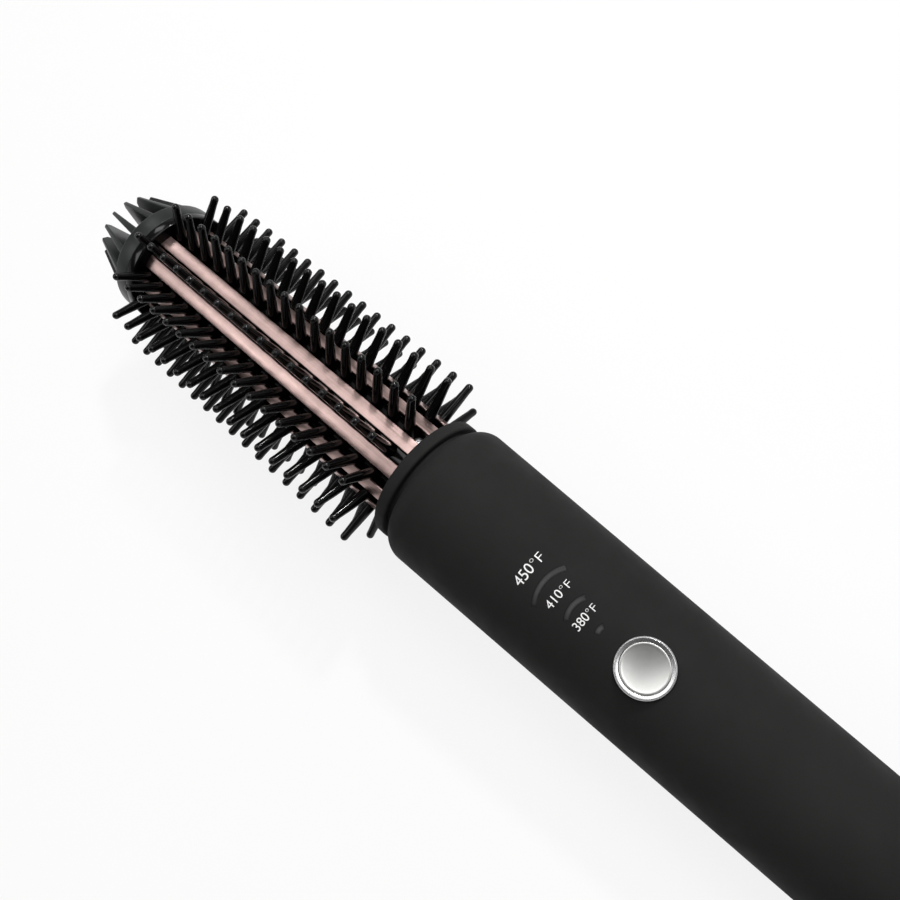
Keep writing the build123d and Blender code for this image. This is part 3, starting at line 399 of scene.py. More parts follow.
ROSE_GOLD = (0.437, 0.312, 0.290)
GROOVE_PAINTED_SHADE = (0.016, 0.011, 0.009)
# how far below the ribs' tops the full painted shade ends and the full rose gold begins
PAINTED_SHADE_FADE = (0.45, 0.1)

LENS_DARK = (0.015, 0.015, 0.015)
LENS_PAINTED_GLOW = (0.060, 0.060, 0.060)


def shades(colour, darker, lighter):
    """The colour made darker and lighter by the two shares."""
    dark = tuple(c * (1 - darker) for c in colour)
    light = tuple(min(1, c * (1 + lighter)) for c in colour)
    return dark, light


class Finish:
    """Principled material with procedural colour, roughness and bump."""

    def __init__(self, name, **sockets):
        self.material = bpy.data.materials.new(name)
        self.material.use_nodes = True
        self.tree = self.material.node_tree
        self.link = self.tree.links.new
        self.shader = self.tree.nodes["Principled BSDF"]
        for socket, value in sockets.items():
            self.shader.inputs[socket.replace("_", " ")].default_value = value
        self.position = self.node("ShaderNodeNewGeometry").outputs["Position"]

    def node(self, kind, **settings):
        """New node with the settings."""
        made = self.tree.nodes.new(kind)
        for key, value in settings.items():
            setattr(made, key, value)
        return made

    def stretched(self, scale):
        """Object-space position, scaled along each axis."""
        mapping = self.node("ShaderNodeMapping")
        mapping.inputs["Scale"].default_value = scale
        source = self.node("ShaderNodeTexCoord").outputs["Object"]
        self.link(source, mapping.inputs["Vector"])
        return mapping.outputs["Vector"]

    def noise(self, scale, detail=3.0, roughness=0.55, vector=None):
        """Noise between 0 and 1, in object space if no vector is given."""
        made = self.node("ShaderNodeTexNoise")
        made.inputs["Scale"].default_value = scale
        made.inputs["Detail"].default_value = detail
        made.inputs["Roughness"].default_value = roughness
        self.link(vector or self.stretched((1, 1, 1)), made.inputs["Vector"])
        return made.outputs["Fac"]

    def ramp(self, fac, low, high, start=0.3, end=0.7):
        """Number that goes from low to high as fac goes from start to end."""
        made = self.node("ShaderNodeMapRange")
        made.inputs["From Min"].default_value = start
        made.inputs["From Max"].default_value = end
        made.inputs["To Min"].default_value = low
        made.inputs["To Max"].default_value = high
        self.link(fac, made.inputs["Value"])
        return made.outputs["Result"]

    def maths(self, operation, first, second):
        """Result for a socket, and for another socket or a plain number."""
        made = self.node("ShaderNodeMath", operation=operation)
        self.link(first, made.inputs[0])
        if isinstance(second, float):
            made.inputs[1].default_value = second
        else:
            self.link(second, made.inputs[1])
        return made.outputs[0]

    def colours(self, fac, low, high, start=0.3, end=0.7):
        """Colour that goes from low to high as fac goes from start to end."""
        made = self.node("ShaderNodeValToRGB")
        stops = ((start, low), (end, high))
        for element, (where, colour) in zip(made.color_ramp.elements, stops):
            element.position = where
            element.color = (*colour, 1)
        self.link(fac, made.inputs["Fac"])
        return made.outputs["Color"]

    def base(self, colour):
        """Links the base colour."""
        self.link(colour, self.shader.inputs["Base Color"])

    def rough(self, number):
        """Links the roughness."""
        self.link(number, self.shader.inputs["Roughness"])

    def bump(self, height, distance):
        """Links a bump whose greatest height is the distance, in metres."""
        made = self.node("ShaderNodeBump")
        made.inputs["Distance"].default_value = distance
        made.inputs["Strength"].default_value = 1.0
        self.link(height, made.inputs["Height"])
        self.link(made.outputs["Normal"], self.shader.inputs["Normal"])


def moulded(name, colour, roughness, spread=0.25, grain=2600, depth=0.00001, **sockets):
    """Moulded plastic: slight tone changes, uneven gloss and a fine grain."""
    finish = Finish(name, **sockets)
    tone = finish.noise(TONE_SCALE, 4)
    finish.base(finish.colours(tone, *shades(colour, spread, spread)))
    glossy, dull = (share * roughness for share in GLOSS_RANGE)
    finish.rough(finish.ramp(finish.noise(GLOSS_SCALE, 5), glossy, min(1, dull)))
    finish.bump(finish.noise(grain, 2, 0.6), depth)
    return finish.material


def brushed_tone(finish, colour, scale, spread, clouds):
    """Fine lines along the least scaled axis, and the metal's colour with lines and clouds."""
    lines = finish.noise(1.0, 3, 0.7, finish.stretched(scale))
    mix = finish.node("ShaderNodeMix", data_type="FLOAT")
    mix.inputs["Factor"].default_value = 0.5
    finish.link(lines, mix.inputs["A"])
    finish.link(finish.noise(clouds, 3), mix.inputs["B"])
    dark, light = shades(colour, spread, spread * 0.6)
    return lines, finish.colours(mix.outputs["Result"], dark, light, 0.35, 0.65)


def brushed(
    name, colour, roughness, scale, spread=0.12, depth=0.000004, clouds=60, uneven=0.2
):
    """Metal with fine lines along the least scaled axis, and a little uneven in gloss."""
    finish = Finish(name, Metallic=1.0)
    lines, tone = brushed_tone(finish, colour, scale, spread, clouds)
    finish.base(tone)
    finish.rough(finish.ramp(lines, roughness * (1 - uneven), roughness * (1 + uneven)))
    finish.bump(lines, depth)
    return finish.material


def rose_gold_barrel():
    """Brushed anodised ribs, whose colour falls off to a painted shade of dark brown down in the
    grooves.
    """
    finish = Finish("rose_gold", Metallic=1.0)
    lines, tone = brushed_tone(finish, ROSE_GOLD, (50, 1900, 1900), 0.24, 260)
    across = finish.node("ShaderNodeVectorMath", operation="MULTIPLY")
    across.inputs[1].default_value = (0, 1, 1)
    finish.link(finish.position, across.inputs[0])
    radius = finish.node("ShaderNodeVectorMath", operation="LENGTH")
    finish.link(across.outputs["Vector"], radius.inputs[0])
    # painted shade: below the ribs' tops the colour darkens to brown, where shade falls in the
    # grooves
    painted_shade_end, gold_start = ((RIB_HEIGHT - below) * MM for below in PAINTED_SHADE_FADE)
    height = finish.ramp(radius.outputs["Value"], 0, 1, painted_shade_end, gold_start)
    # a mix node's colours are its inputs 6 and 7 and its output 2
    blend = finish.node("ShaderNodeMix", data_type="RGBA")
    blend.inputs[6].default_value = (*GROOVE_PAINTED_SHADE, 1)
    finish.link(height, blend.inputs["Factor"])
    finish.link(tone, blend.inputs[7])
    finish.base(blend.outputs[2])
    finish.rough(finish.ramp(lines, 0.28, 0.42))
    finish.bump(lines, 0.000004)
    return finish.material


def smoked_lens():
    """Smoked window, with a painted glow along its middle and painted shade at its rim."""
    finish = Finish("smoked_lens", Specular_IOR_Level=0.12)
    # painted glow: lighter along the lens's middle, painted shade towards its rim
    painted_glow = finish.node("ShaderNodeAttribute", attribute_name="painted_glow").outputs["Fac"]
    cloud = finish.ramp(finish.noise(220, 3), 0.85, 1.15)
    painted_glow_level = finish.maths("MULTIPLY", painted_glow, cloud)
    finish.base(finish.colours(painted_glow_level, LENS_DARK, LENS_PAINTED_GLOW, 0.0, 1.0))
    finish.rough(finish.ramp(finish.noise(150, 4), 0.36, 0.46))
    finish.bump(finish.noise(1500, 2), 0.000003)
    return finish.material


materials = {
    "rose_gold_barrel": rose_gold_barrel(),
    "bristle_black": moulded(
        "bristle_black", (0.0016, 0.0015, 0.0015), 0.12, grain=900, depth=0.000003,
        Specular_IOR_Level=0.3
    ),
    "gloss_black": moulded(
        "gloss_black", (0.0018, 0.0018, 0.002), 0.13, grain=700, depth=0.000003,
        Specular_IOR_Level=0.2
    ),
    "tip_grey": moulded(
        "tip_grey", (0.0105, 0.012, 0.0117), 0.38, grain=2200, depth=0.000012,
        Specular_IOR_Level=0.3
    ),
    "soft_black": moulded(
        "soft_black", (0.0180, 0.0180, 0.0177), 0.66, spread=0.10, grain=4200, depth=0.000008,
        Specular_IOR_Level=0.06
    ),
    "gland_black": moulded(
        "gland_black", (0.012, 0.012, 0.012), 0.48, Specular_IOR_Level=0.3
    ),
    "bright_silver": brushed(
        "bright_silver", (0.55, 0.55, 0.55), 0.27, (500, 500, 500), spread=0.05, depth=0.0000005,
        uneven=0.06
    ),
    "satin_silver": brushed(
        "satin_silver", (0.60, 0.60, 0.585), 0.37, (900, 900, 900), spread=0.03, depth=0.0000002,
        uneven=0.03
    ),
    "smoked_lens": smoked_lens(),
    "inner_black": moulded("inner_black", (0.02, 0.02, 0.02), 0.6),
    "inner_grey": moulded("inner_grey", (0.16, 0.16, 0.165), 0.6),
    "led_white": moulded("led_white", (0.75, 0.74, 0.66), 0.35),
    "board_green": moulded("board_green", (0.012, 0.095, 0.035), 0.4),
    "zinc_steel": brushed("zinc_steel", (0.72, 0.72, 0.72), 0.3, (900, 900, 900)),
    "capacitor_yellow": moulded("capacitor_yellow", (0.55, 0.36, 0.03), 0.35),
    "plain_aluminium": brushed("plain_aluminium", (0.72, 0.72, 0.73), 0.4, (60, 1800, 1800)),
    "heater_film": moulded("heater_film", (0.42, 0.19, 0.03), 0.35),
    "sensor_sleeve": moulded("sensor_sleeve", (0.55, 0.53, 0.48), 0.5),
    "wire_red": moulded("wire_red", (0.36, 0.012, 0.01), 0.4),
    "contact_brass": brushed("contact_brass", (0.76, 0.56, 0.24), 0.3, (900, 900, 900)),
    "print_white": moulded("print_white", (0.86, 0.86, 0.85), 0.5, spread=0.04, grain=5000),
}


def finish_piece(obj, slot, body="root", stands_for=()):
    """Gives a new piece its material and body, and hides the CAD nodes that it stands for."""
    obj.data.materials.clear()
    obj.data.materials.append(materials[slot])
    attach(obj, body)
    if stands_for:
        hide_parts(*stands_for)


# ------------------------------------------------------------------ camera, fitted to the photo

camera_data = bpy.data.cameras.new("camera")
camera_data.lens = 34.519
camera_data.sensor_width = 36
camera_data.sensor_fit = "HORIZONTAL"
camera_data.clip_start = 0.01
camera = linked("camera", camera_data)
right = Vector((-0.71565556, -0.6422497, -0.274504))
up = Vector((0.59022324, -0.76624097, 0.25399076))
back = Vector((-0.37346169, 0.01975126, 0.92743531))
camera.matrix_world = Matrix.Translation((-0.051117, -0.004972, 0.198059)) @ Matrix(
    (right, up, back)
).transposed().to_4x4()
bpy.context.scene.camera = camera

# ------------------------------------------------------------------ barrel


def barrel_outline():
    """Section of the extrusion, with small radii on the edges of ribs and slots."""
    step = 360 / ROW_COUNT
    sine = math.sin(math.radians(step / 2))
    cosine = math.cos(math.radians(step / 2))
    opening = RIB_HEIGHT * sine - RIB_WIDTH / 2 * cosine
    edge = (RIB_HEIGHT - opening * sine) / cosine
    groove = [
        (-opening, edge),
        (-opening, SLOT_TOP),
        (-opening - LIP_WIDTH, SLOT_TOP),
        (-opening - LIP_WIDTH, SLOT_FLOOR),
        (opening + LIP_WIDTH, SLOT_FLOOR),
        (opening + LIP_WIDTH, SLOT_TOP),
        (opening, SLOT_TOP),
        (opening, edge),
    ]
    radii = [0.28, 0.12, 0.1, 0.15, 0.15, 0.1, 0.12, 0.28]
    points = []
    for row in range(ROW_COUNT):
        angle = -math.radians(row * step)
        c, s = math.cos(angle), math.sin(angle)
        points += [(u * c - h * s, u * s + h * c) for u, h in groove]
    return rounded(points, radii * ROW_COUNT, steps=3)


def bore_outline():
    """Circle of the barrel's bore."""
    angles = [math.radians(i * 360 / BORE_SIDES) for i in range(BORE_SIDES)]
    return [(BORE_RADIUS * math.sin(angle), BORE_RADIUS * math.cos(angle)) for angle in angles]


def make_barrel():
    """Extrusion with slots and bore, closed at both ends."""
    bm = bmesh.new()
    outlines = (barrel_outline(), bore_outline())
    ends = [
        [[bm.verts.new(place(x, u, h)) for u, h in outline] for outline in outlines]
        for x in (0, BARREL_LENGTH)
    ]
    for rear_loop, front_loop in zip(*ends):
        add_band(bm, rear_loop, front_loop)
    for loops in ends:
        edges = []
        for loop in loops:
            for i in range(len(loop)):
                edges.append(bm.edges.get((loop[i], loop[(i + 1) % len(loop)])))
        bmesh.ops.triangle_fill(bm, use_beauty=True, use_dissolve=False, edges=edges)
    return new_object("ribbed_barrel", bm, sharp=30)


finish_piece(make_barrel(), "rose_gold_barrel", stands_for=["barrel"])

# ------------------------------------------------------------------ bristles


def pin_profile():
    """Pin from inside its strip to its domed end, as (height, radius)."""
    root = SLOT_TOP - SLIDE_GAP
    dome = BRISTLE_TIP - PIN_DOME
    buried = root - PIN_ROOT_DEPTH
    profile = [(buried, 0.0), (buried, PIN_SHANK[0][1])]
    profile += [(root + height, radius) for height, radius in PIN_SHANK]
    profile += [(dome - 1.4, PIN_WAIST_RADIUS), (dome - 0.5, PIN_END_RADIUS)]
    for k in range(PIN_DOME_STEPS):
        angle = math.radians(90 * k / PIN_DOME_STEPS)
        height = dome + PIN_DOME * math.sin(angle)
        profile.append((height, PIN_END_RADIUS * math.cos(angle)))
    profile.append((BRISTLE_TIP, 0.0))
    return profile


def make_strip(row):
    """Moulded strip with its row of pins; it starts in front of a collar screw."""
    bm = bmesh.new()
    start = STRIP_START_AT_SCREW if row in SCREW_ROWS else SLIDE_GAP
    end = BARREL_LENGTH - SLIDE_GAP
    low, high = SLOT_FLOOR + SLIDE_GAP, SLOT_TOP - SLIDE_GAP
    half = STRIP_HALF_WIDTH
    section = rounded([(-half, low), (half, low), (half, high), (-half, high)], 0.15, steps=2)
    rear, front = [[bm.verts.new(place(x, u, h)) for u, h in section] for x in (start, end)]
    add_band(bm, rear, front)
    bm.faces.new(rear)
    bm.faces.new(front)
    profile = pin_profile()
    for i in range(BRISTLE_COUNT):
        add_lathe(bm, profile, PIN_SIDES, upright_at(FIRST_BRISTLE_X + i * BRISTLE_PITCH))
    bm.transform(row_turn(row))
    return new_object(f"bristle_row_{row + 1:02d}", bm, sharp=45)


for row in range(ROW_COUNT):
    finish_piece(make_strip(row), "bristle_black", stands_for=[f"bristle_strip_{row + 1:02d}"])

# ------------------------------------------------------------------ cool tip

end_ring = lathe(
    "end_ring_gloss",
    rounded(
        [
            (BARREL_LENGTH, BORE_RADIUS + SLIDE_GAP),
            (TIP_RING_REAR, BORE_RADIUS + SLIDE_GAP),
            (TIP_RING_REAR, TIP_RING_RADIUS),
            (BARREL_LENGTH, TIP_RING_RADIUS),
        ],
        [0, 0, 0.12, 0.5],
    ),
)
finish_piece(end_ring, "gloss_black", stands_for=["end_ring"])


def fin_draft(x):
    """Moulding draft: a fin's thickness here, as a share of its middle thickness."""
    root, nose = FIN_DRAFT
    return root + (nose - root) * (x - TIP_FACE) / (NOSE_X - TIP_FACE)


def fin_at(turn):
    """Place of a fin's point from its x, its height and its distance from the fin's middle."""
    return lambda x, height, aside: turn @ place(x, aside * fin_draft(x), height)


def make_cool_tip():
    """Grip ring, hollow plug and core, with a crown of rounded fins."""
    bm = bmesh.new()
    body = [
        (TIP_CORE_FRONT, 0.0),
        (TIP_FACE - 1.0, 0.0),
        (TIP_FACE - 1.0, PLUG_RADIUS - TIP_PLUG_WALL),
        (TIP_PLUG_REAR, PLUG_RADIUS - TIP_PLUG_WALL),
        (TIP_PLUG_REAR, PLUG_RADIUS),
        (TIP_RING_REAR, PLUG_RADIUS),
        (TIP_RING_REAR, TIP_RING_RADIUS),
        (TIP_FACE, TIP_RING_RADIUS),
        (TIP_FACE, TIP_RING_RADIUS - 3.9),
        (TIP_CORE_FRONT, TIP_CORE_RADIUS),
    ]
    radii = [0, 0, 0.3, 0.3, 0.4, 0.3, 0.25, 0.55, 0.5, 1.8]
    add_lathe(bm, rounded(body, radii), 192, place)
    blade = rounded(
        [
            (TIP_FACE - 0.5, 5.0),
            (TIP_FACE - 0.5, TIP_RING_RADIUS - 0.6),
            (TIP_FACE, TIP_RING_RADIUS - 0.6),
            (NOSE_X, 11.5),
            (NOSE_X, 9.6),
            (TIP_FACE + 9.0, 5.0),
        ],
        [0, 0, 0, 0.6, 0.6, 0.5],
    )
    for i in range(FIN_COUNT):
        add_slab(bm, blade, FIN_THICKNESS, FIN_EDGE, fin_at(spun(i * 360 / FIN_COUNT)))
    return new_object("cool_tip_fins", bm, sharp=35)


finish_piece(make_cool_tip(), "tip_grey", stands_for=["cool_tip"])

# ------------------------------------------------------------------ collar and its screws

collar = lathe(
    "collar_flange",
    rounded(
        [
            (COLLAR_NECK_FRONT, COLLAR_NECK_BORE),
            (COLLAR_NECK_FRONT, PLUG_RADIUS),
            (0.0, PLUG_RADIUS),
            (0.0, COLLAR_RADIUS),
            (COLLAR_REAR, COLLAR_RADIUS),
            (COLLAR_REAR, SOCKET_RADIUS - 1.0),
            (SPIGOT_FRONT, SOCKET_RADIUS - 1.0),
            (SPIGOT_FRONT, SPIGOT_RADIUS),
            (SPIGOT_END + SEAT_GAP, SPIGOT_RADIUS),
            (SPIGOT_END + SEAT_GAP, COLLAR_CAVITY),
            (COLLAR_INNER_FACE, COLLAR_CAVITY),
            (COLLAR_INNER_FACE, COLLAR_NECK_BORE),
        ],
        [0.2, 0.4, 0.1, 0.75, 0.6, 0.15, 0, 0.3, 0.3, 0.2, 0.3, 0.2],
        steps=5,
    ),
    segments=192,
)
finish_piece(collar, "soft_black", stands_for=["collar"])


def cross_cutter(angle, top):
    """One arm of the recess in a screw's head."""
    bm = bmesh.new()
    bmesh.ops.create_cube(bm, size=1.0)
    bmesh.ops.scale(bm, vec=[size * MM for size in CROSS_SIZE], verts=bm.verts)
    turn = Matrix.Rotation(math.radians(angle), 4, "Z")
    bm.transform(Matrix.Translation(place(SCREW_X, 0, top)) @ turn)
    return new_object(f"cross_{angle}", bm)


def make_collar_screws():
    """Three pan-head screws with a cross recess, in the slots at the collar."""
    end = COLLAR_NECK_BORE + 0.4
    seat = SLOT_FLOOR + SEAT_GAP
    top = seat + SCREW_HEAD_HEIGHT
    profile = [
        (end, 0.0),
        (end, SCREW_SHANK_RADIUS),
        (seat, SCREW_SHANK_RADIUS),
        (seat, SCREW_HEAD_RADIUS),
        (seat + 0.55, SCREW_HEAD_RADIUS),
        (seat + 0.9, 1.42),
        (seat + 1.13, 1.05),
        (top - 0.03, 0.62),
        (top, 0.0),
    ]
    screw = lathe("collar_screw_heads", profile, 32, upright_at(SCREW_X))
    cut(screw, [cross_cutter(angle, top) for angle in (45, 135)])
    bm = bmesh.new()
    for row in SCREW_ROWS:
        copy = bmesh.new()
        copy.from_mesh(screw.data)
        copy.transform(row_turn(row))
        add_copy(bm, copy)
    bpy.data.objects.remove(screw)
    return new_object("collar_screw_heads", bm)


finish_piece(make_collar_screws(), "zinc_steel", stands_for=["collar_screws"])

# ------------------------------------------------------------------ handle sleeve and windows


def window_outline(name, inset):
    """Outline of a window as (x, y): an arc-shaped band with rounded corners."""
    crown, width, rise = WINDOWS[name]
    radius = width**2 / (8 * rise) + rise / 2
    half_angle = math.asin(width / 2 / radius) - inset / radius
    centre = crown - radius
    outer = radius - inset
    inner = radius - WINDOW_BAND + inset
    loop = []
    for k in range(ARC_STEPS + 1):
        angle = -half_angle + 2 * half_angle * k / ARC_STEPS
        loop.append((centre + outer * math.cos(angle), outer * math.sin(angle)))
    for k in range(ARC_STEPS + 1):
        angle = half_angle - 2 * half_angle * k / ARC_STEPS
        loop.append((centre + inner * math.cos(angle), inner * math.sin(angle)))
    corners = (0, ARC_STEPS, ARC_STEPS + 1, 2 * ARC_STEPS + 1)
    corner_radius = max(WINDOW_CORNER - inset / 2, 0.02)
    radii = [corner_radius if i in corners else 0 for i in range(len(loop))]
    return rounded(loop, radii, steps=3)


def window_cutter(name):
    """Upright prism that opens a window in the sleeve."""
    outline = window_outline(name, 0.0)
    bm = bmesh.new()
    low, high = [
        [bm.verts.new(place(x, y, z)) for x, y in outline] for z in WINDOW_CUT_HEIGHTS
    ]
    bm.faces.new(low)
    bm.faces.new(high[::-1])
    add_band(bm, low, high)
    return new_object("window_cut_" + name, bm, sharp=35)


def window_lens(name):
    """Window piece; its top follows the handle and carries its painted glow at each ring."""
    width = WINDOWS[name][1]
    bm = bmesh.new()
    painted_glow = bm.verts.layers.float.new("painted_glow")
    rings = []
    for inset, value in LENS_RINGS:
        ring = []
        for x, y in window_outline(name, inset):
            height = math.sqrt((handle_radius(x) - LENS_SINK) ** 2 - y**2)
            vertex = bm.verts.new(place(x, y, height))
            # painted glow, weaker towards the ends of the arc
            vertex[painted_glow] = value * (1 - PAINTED_GLOW_FADE * (2 * y / width) ** 2)
            ring.append(vertex)
        rings.append(ring)
    floor = [
        bm.verts.new(place(x, y, handle_radius(x) - HANDLE_WALL - LENS_STEM))
        for x, y in window_outline(name, LENS_RINGS[0][0])
    ]
    bm.faces.new(floor)
    add_band(bm, floor, rings[0])
    for first, second in zip(rings, rings[1:]):
        add_band(bm, first, second)
    bm.faces.new(rings[-1][::-1])
    return new_object("window_lens_" + name, bm, sharp=35)


def shoulder_arc(lip):
    """Arc that is tangent to the cone at the shoulder and ends at the lip of the mouth."""
    slope = math.atan(HANDLE_TAPER)
    chord_x = HANDLE_FRONT - SHOULDER_X
    chord_r = lip - HANDLE_MOUTH
    turn = 2 * (slope - math.atan2(chord_r, chord_x))
    radius = math.hypot(chord_x, chord_r) / (2 * math.sin(turn / 2))
    points = []
    for k in range(SHOULDER_STEPS + 1):
        angle = turn * k / SHOULDER_STEPS - slope
        points.append(
            (
                SHOULDER_X + radius * (math.sin(angle) + math.sin(slope)),
                HANDLE_MOUTH + radius * (math.cos(angle) - math.cos(slope)),
            )
        )
    return points


def make_sleeve():
    """Tapered sleeve with a rounded shoulder, cut for the windows and the button."""
    lip = HANDLE_MOUTH - MOUTH_LIP_DROP
    inside = rounded(
        [
            (HANDLE_FRONT, lip),
            (HANDLE_FRONT, SOCKET_RADIUS),
            (SPIGOT_END, SOCKET_RADIUS),
            (SPIGOT_END, SOCKET_RADIUS - SOCKET_STEP),
            (HANDLE_TAIL, TAIL_RIM - HANDLE_WALL),
            (HANDLE_TAIL, TAIL_RIM),
            (SHOULDER_X, HANDLE_MOUTH),
        ],
        [0, 0.3, 0, 0, 0.1, 0.25, 0],
        steps=3,
    )
    profile = shoulder_arc(lip) + inside[1:-1]
    tail_x = profile[-1][0]
    for k in range(1, HANDLE_STATIONS):
        x = tail_x + (SHOULDER_X - tail_x) * k / HANDLE_STATIONS
        profile.append((x, handle_radius(x)))
    sleeve = lathe("handle_shell", profile, segments=320)
    cutters = [window_cutter(name) for name in WINDOWS]
    for name, radius, floor, top in (
        ("button_cut", BEZEL_SEAT_RADIUS, BEZEL_SEAT, CREST + 3),
        ("well_cut", BUTTON_WELL_RADIUS, BUTTON_WELL_FLOOR, CREST),
    ):
        plug = [(floor, 0.0), (floor, radius), (top, radius), (top, 0.0)]
        cutters.append(lathe(name, plug, 128, upright_at(BUTTON_X)))
    cut(sleeve, cutters)
    return sleeve


finish_piece(make_sleeve(), "soft_black", stands_for=["handle_sleeve"])

for name in WINDOWS:
    finish_piece(window_lens(name), "smoked_lens", stands_for=["indicator_lens_" + name])

# ------------------------------------------------------------------ printed temperatures


def add_text(bm, text, weight, left, width, height):
    """Adds flat letters of a given width and height, from left; weight thickens the strokes."""
    data = bpy.data.curves.new("text", "FONT")
    data.body = text
    data.offset = weight
    data.resolution_u = 6
    letters = linked("text", data)
    mesh = evaluated_mesh(letters)
    bpy.data.objects.remove(letters)
    xs = [v.co.x for v in mesh.vertices]
    ys = [v.co.y for v in mesh.vertices]
    start = len(bm.verts)
    bm.from_mesh(mesh)
    bpy.data.meshes.remove(mesh)
    bm.verts.ensure_lookup_table()
    for v in bm.verts[start:]:
        v.co.x = left + (v.co.x - min(xs)) * width / (max(xs) - min(xs))
        v.co.y *= height / max(ys)


def printed(name, figures, foot_x, height, width):
    """Temperature printed on the handle, its figures' tops towards the cool tip."""
    bm = bmesh.new()
    left = -width / 2
    unit_left = left + (FIGURES_SHARE + UNIT_SPACE) * width
    add_text(bm, figures, FIGURES_WEIGHT, left, FIGURES_SHARE * width, height)
    add_text(bm, "°F", UNIT_WEIGHT, unit_left, width / 2 - unit_left, UNIT_HEIGHT * height)
    bmesh.ops.remove_doubles(bm, verts=bm.verts, dist=1e-5)
    # the letters are sliced, so that they can follow the round handle
    for k in range(1, PRINT_SLICES):
        bmesh.ops.bisect_plane(
            bm,
            geom=bm.verts[:] + bm.edges[:] + bm.faces[:],
            plane_co=(left + width * k / PRINT_SLICES, 0, 0),
            plane_no=(1, 0, 0),
        )
    bmesh.ops.solidify(bm, geom=bm.faces[:], thickness=PRINT_THICKNESS)
    for v in bm.verts:
        x = foot_x + v.co.y
        radius = handle_radius(x) + PRINT_LIFT + v.co.z
        angle = v.co.x / handle_radius(x)
        v.co = place(x, -radius * math.sin(angle), radius * math.cos(angle))
    return new_object(name, bm)


for name, measures in PRINTS.items():
    finish_piece(printed(name, *measures), "print_white")

# ------------------------------------------------------------------ button

bezel_bore = BUTTON_RADIUS + RUNNING_GAP
bezel = lathe(
    "button_bezel_ring",
    rounded(
        [
            (CREST - BEZEL_BARREL_DEPTH, bezel_bore),
            (CREST - BEZEL_BARREL_DEPTH, BEZEL_BARREL_RADIUS),
            (BEZEL_SEAT + SEAT_GAP, BEZEL_BARREL_RADIUS),
            (BEZEL_SEAT + SEAT_GAP, BEZEL_RADIUS),
            (CREST + 0.30, BEZEL_RADIUS),
            (CREST + 0.55, 6.02),
            (CREST + 0.38, bezel_bore),
        ],
        [0.1, 0.1, 0, 0.05, 0.22, 0.2, 0.12],
    ),
    to_point=upright_at(BUTTON_X),
    sharp=50,
)
finish_piece(bezel, "bright_silver", stands_for=["button_bezel"])

flange_floor = CREST - CAP_FLANGE_FLOOR
flange_top = CREST - CAP_FLANGE_TOP
cap_profile = [
    (flange_floor - CAP_STEM_LENGTH, 0.0),
    (flange_floor - CAP_STEM_LENGTH, CAP_STEM_RADIUS),
    (flange_floor, CAP_STEM_RADIUS),
    (flange_floor, CAP_FLANGE_RADIUS),
    (flange_top, CAP_FLANGE_RADIUS),
    (flange_top, BUTTON_RADIUS),
    (CREST + 0.12, BUTTON_RADIUS),
    (CREST + 0.21, 5.16),
    (CREST + 0.25, 5.07),
    (CREST + 0.25, 4.78),
    (CREST + 0.22, DISH_RADIUS),
]
for k in range(1, DISH_STEPS + 1):
    share = 1 - k / DISH_STEPS
    cap_profile.append((CREST + 0.22 - DISH_DEPTH * (1 - share**2), DISH_RADIUS * share))
button_cap = lathe(
    "button_cap_dished", cap_profile, to_point=upright_at(BUTTON_X), sharp=50
)
finish_piece(button_cap, "satin_silver", "button", ["button_cap"])

# ------------------------------------------------------------------ tail and cord swivel

tail_bore = TAIL_PLUG_RADIUS - TAIL_PLUG_WALL
tail_cap = lathe(
    "tail_cap_shell",
    rounded(
        [
            (TAIL_CAP_REAR, GLAND_NECK_RADIUS + RUNNING_GAP),
            (TAIL_CAP_REAR + TAIL_CAP_WALL, GLAND_NECK_RADIUS + RUNNING_GAP),
            (TAIL_CAP_REAR + TAIL_CAP_WALL, tail_bore),
            (HANDLE_TAIL + TAIL_PLUG_LENGTH, tail_bore),
            (HANDLE_TAIL + TAIL_PLUG_LENGTH, TAIL_PLUG_RADIUS),
            (HANDLE_TAIL - SEAT_GAP, TAIL_PLUG_RADIUS),
            (HANDLE_TAIL - SEAT_GAP, TAIL_RIM),
            (TAIL_CAP_REAR, TAIL_RIM),
        ],
        [0.15, 0.2, 0.3, 0.2, 0.3, 0, 0.2, 3.4],
        steps=10,
    ),
    segments=192,
)
finish_piece(tail_cap, "soft_black", stands_for=["tail_cap"])

gland_flange_radius = tail_bore - GLAND_FLANGE_GAP
gland_flange_rear = TAIL_CAP_REAR + TAIL_CAP_WALL + RUNNING_GAP
rotor_rear = gland_flange_rear + GLAND_FLANGE_LENGTH
gland = lathe(
    "gland_nose",
    rounded(
        [
            (GLAND_END, CORD_BORE_RADIUS),
            (GLAND_END, GLAND_NOSE_RADIUS),
            (TAIL_CAP_REAR - SEAT_GAP, GLAND_NOSE_RADIUS),
            (TAIL_CAP_REAR - SEAT_GAP, GLAND_NECK_RADIUS),
            (gland_flange_rear, GLAND_NECK_RADIUS),
            (gland_flange_rear, gland_flange_radius),
            (rotor_rear, gland_flange_radius),
            (rotor_rear, ROTOR_RADIUS),
            (rotor_rear + ROTOR_LENGTH, ROTOR_RADIUS),
            (rotor_rear + ROTOR_LENGTH, 0.0),
            (rotor_rear, 0.0),
            (rotor_rear, CORD_BORE_RADIUS),
        ],
        [0.35, 2.2, 0.2, 0.1, 0, 0.1, 0.1, 0.1, 0.3, 0, 0, 0.1],
        steps=7,
    ),
    segments=96,
)
finish_piece(gland, "gland_black", "gland", ["swivel_gland"])

# ------------------------------------------------------------------ CAD pieces that stay

slot_of = {entry["node"]: entry["material_slot"] for entry in frame["record"]["subparts"]}
for name, obj in nodes.items():
    if obj.hide_render:
        continue
    for k in range(len(obj.data.materials)):
        obj.data.materials[k] = materials[slot_of[name]]

# ------------------------------------------------------------------ floor, in metres

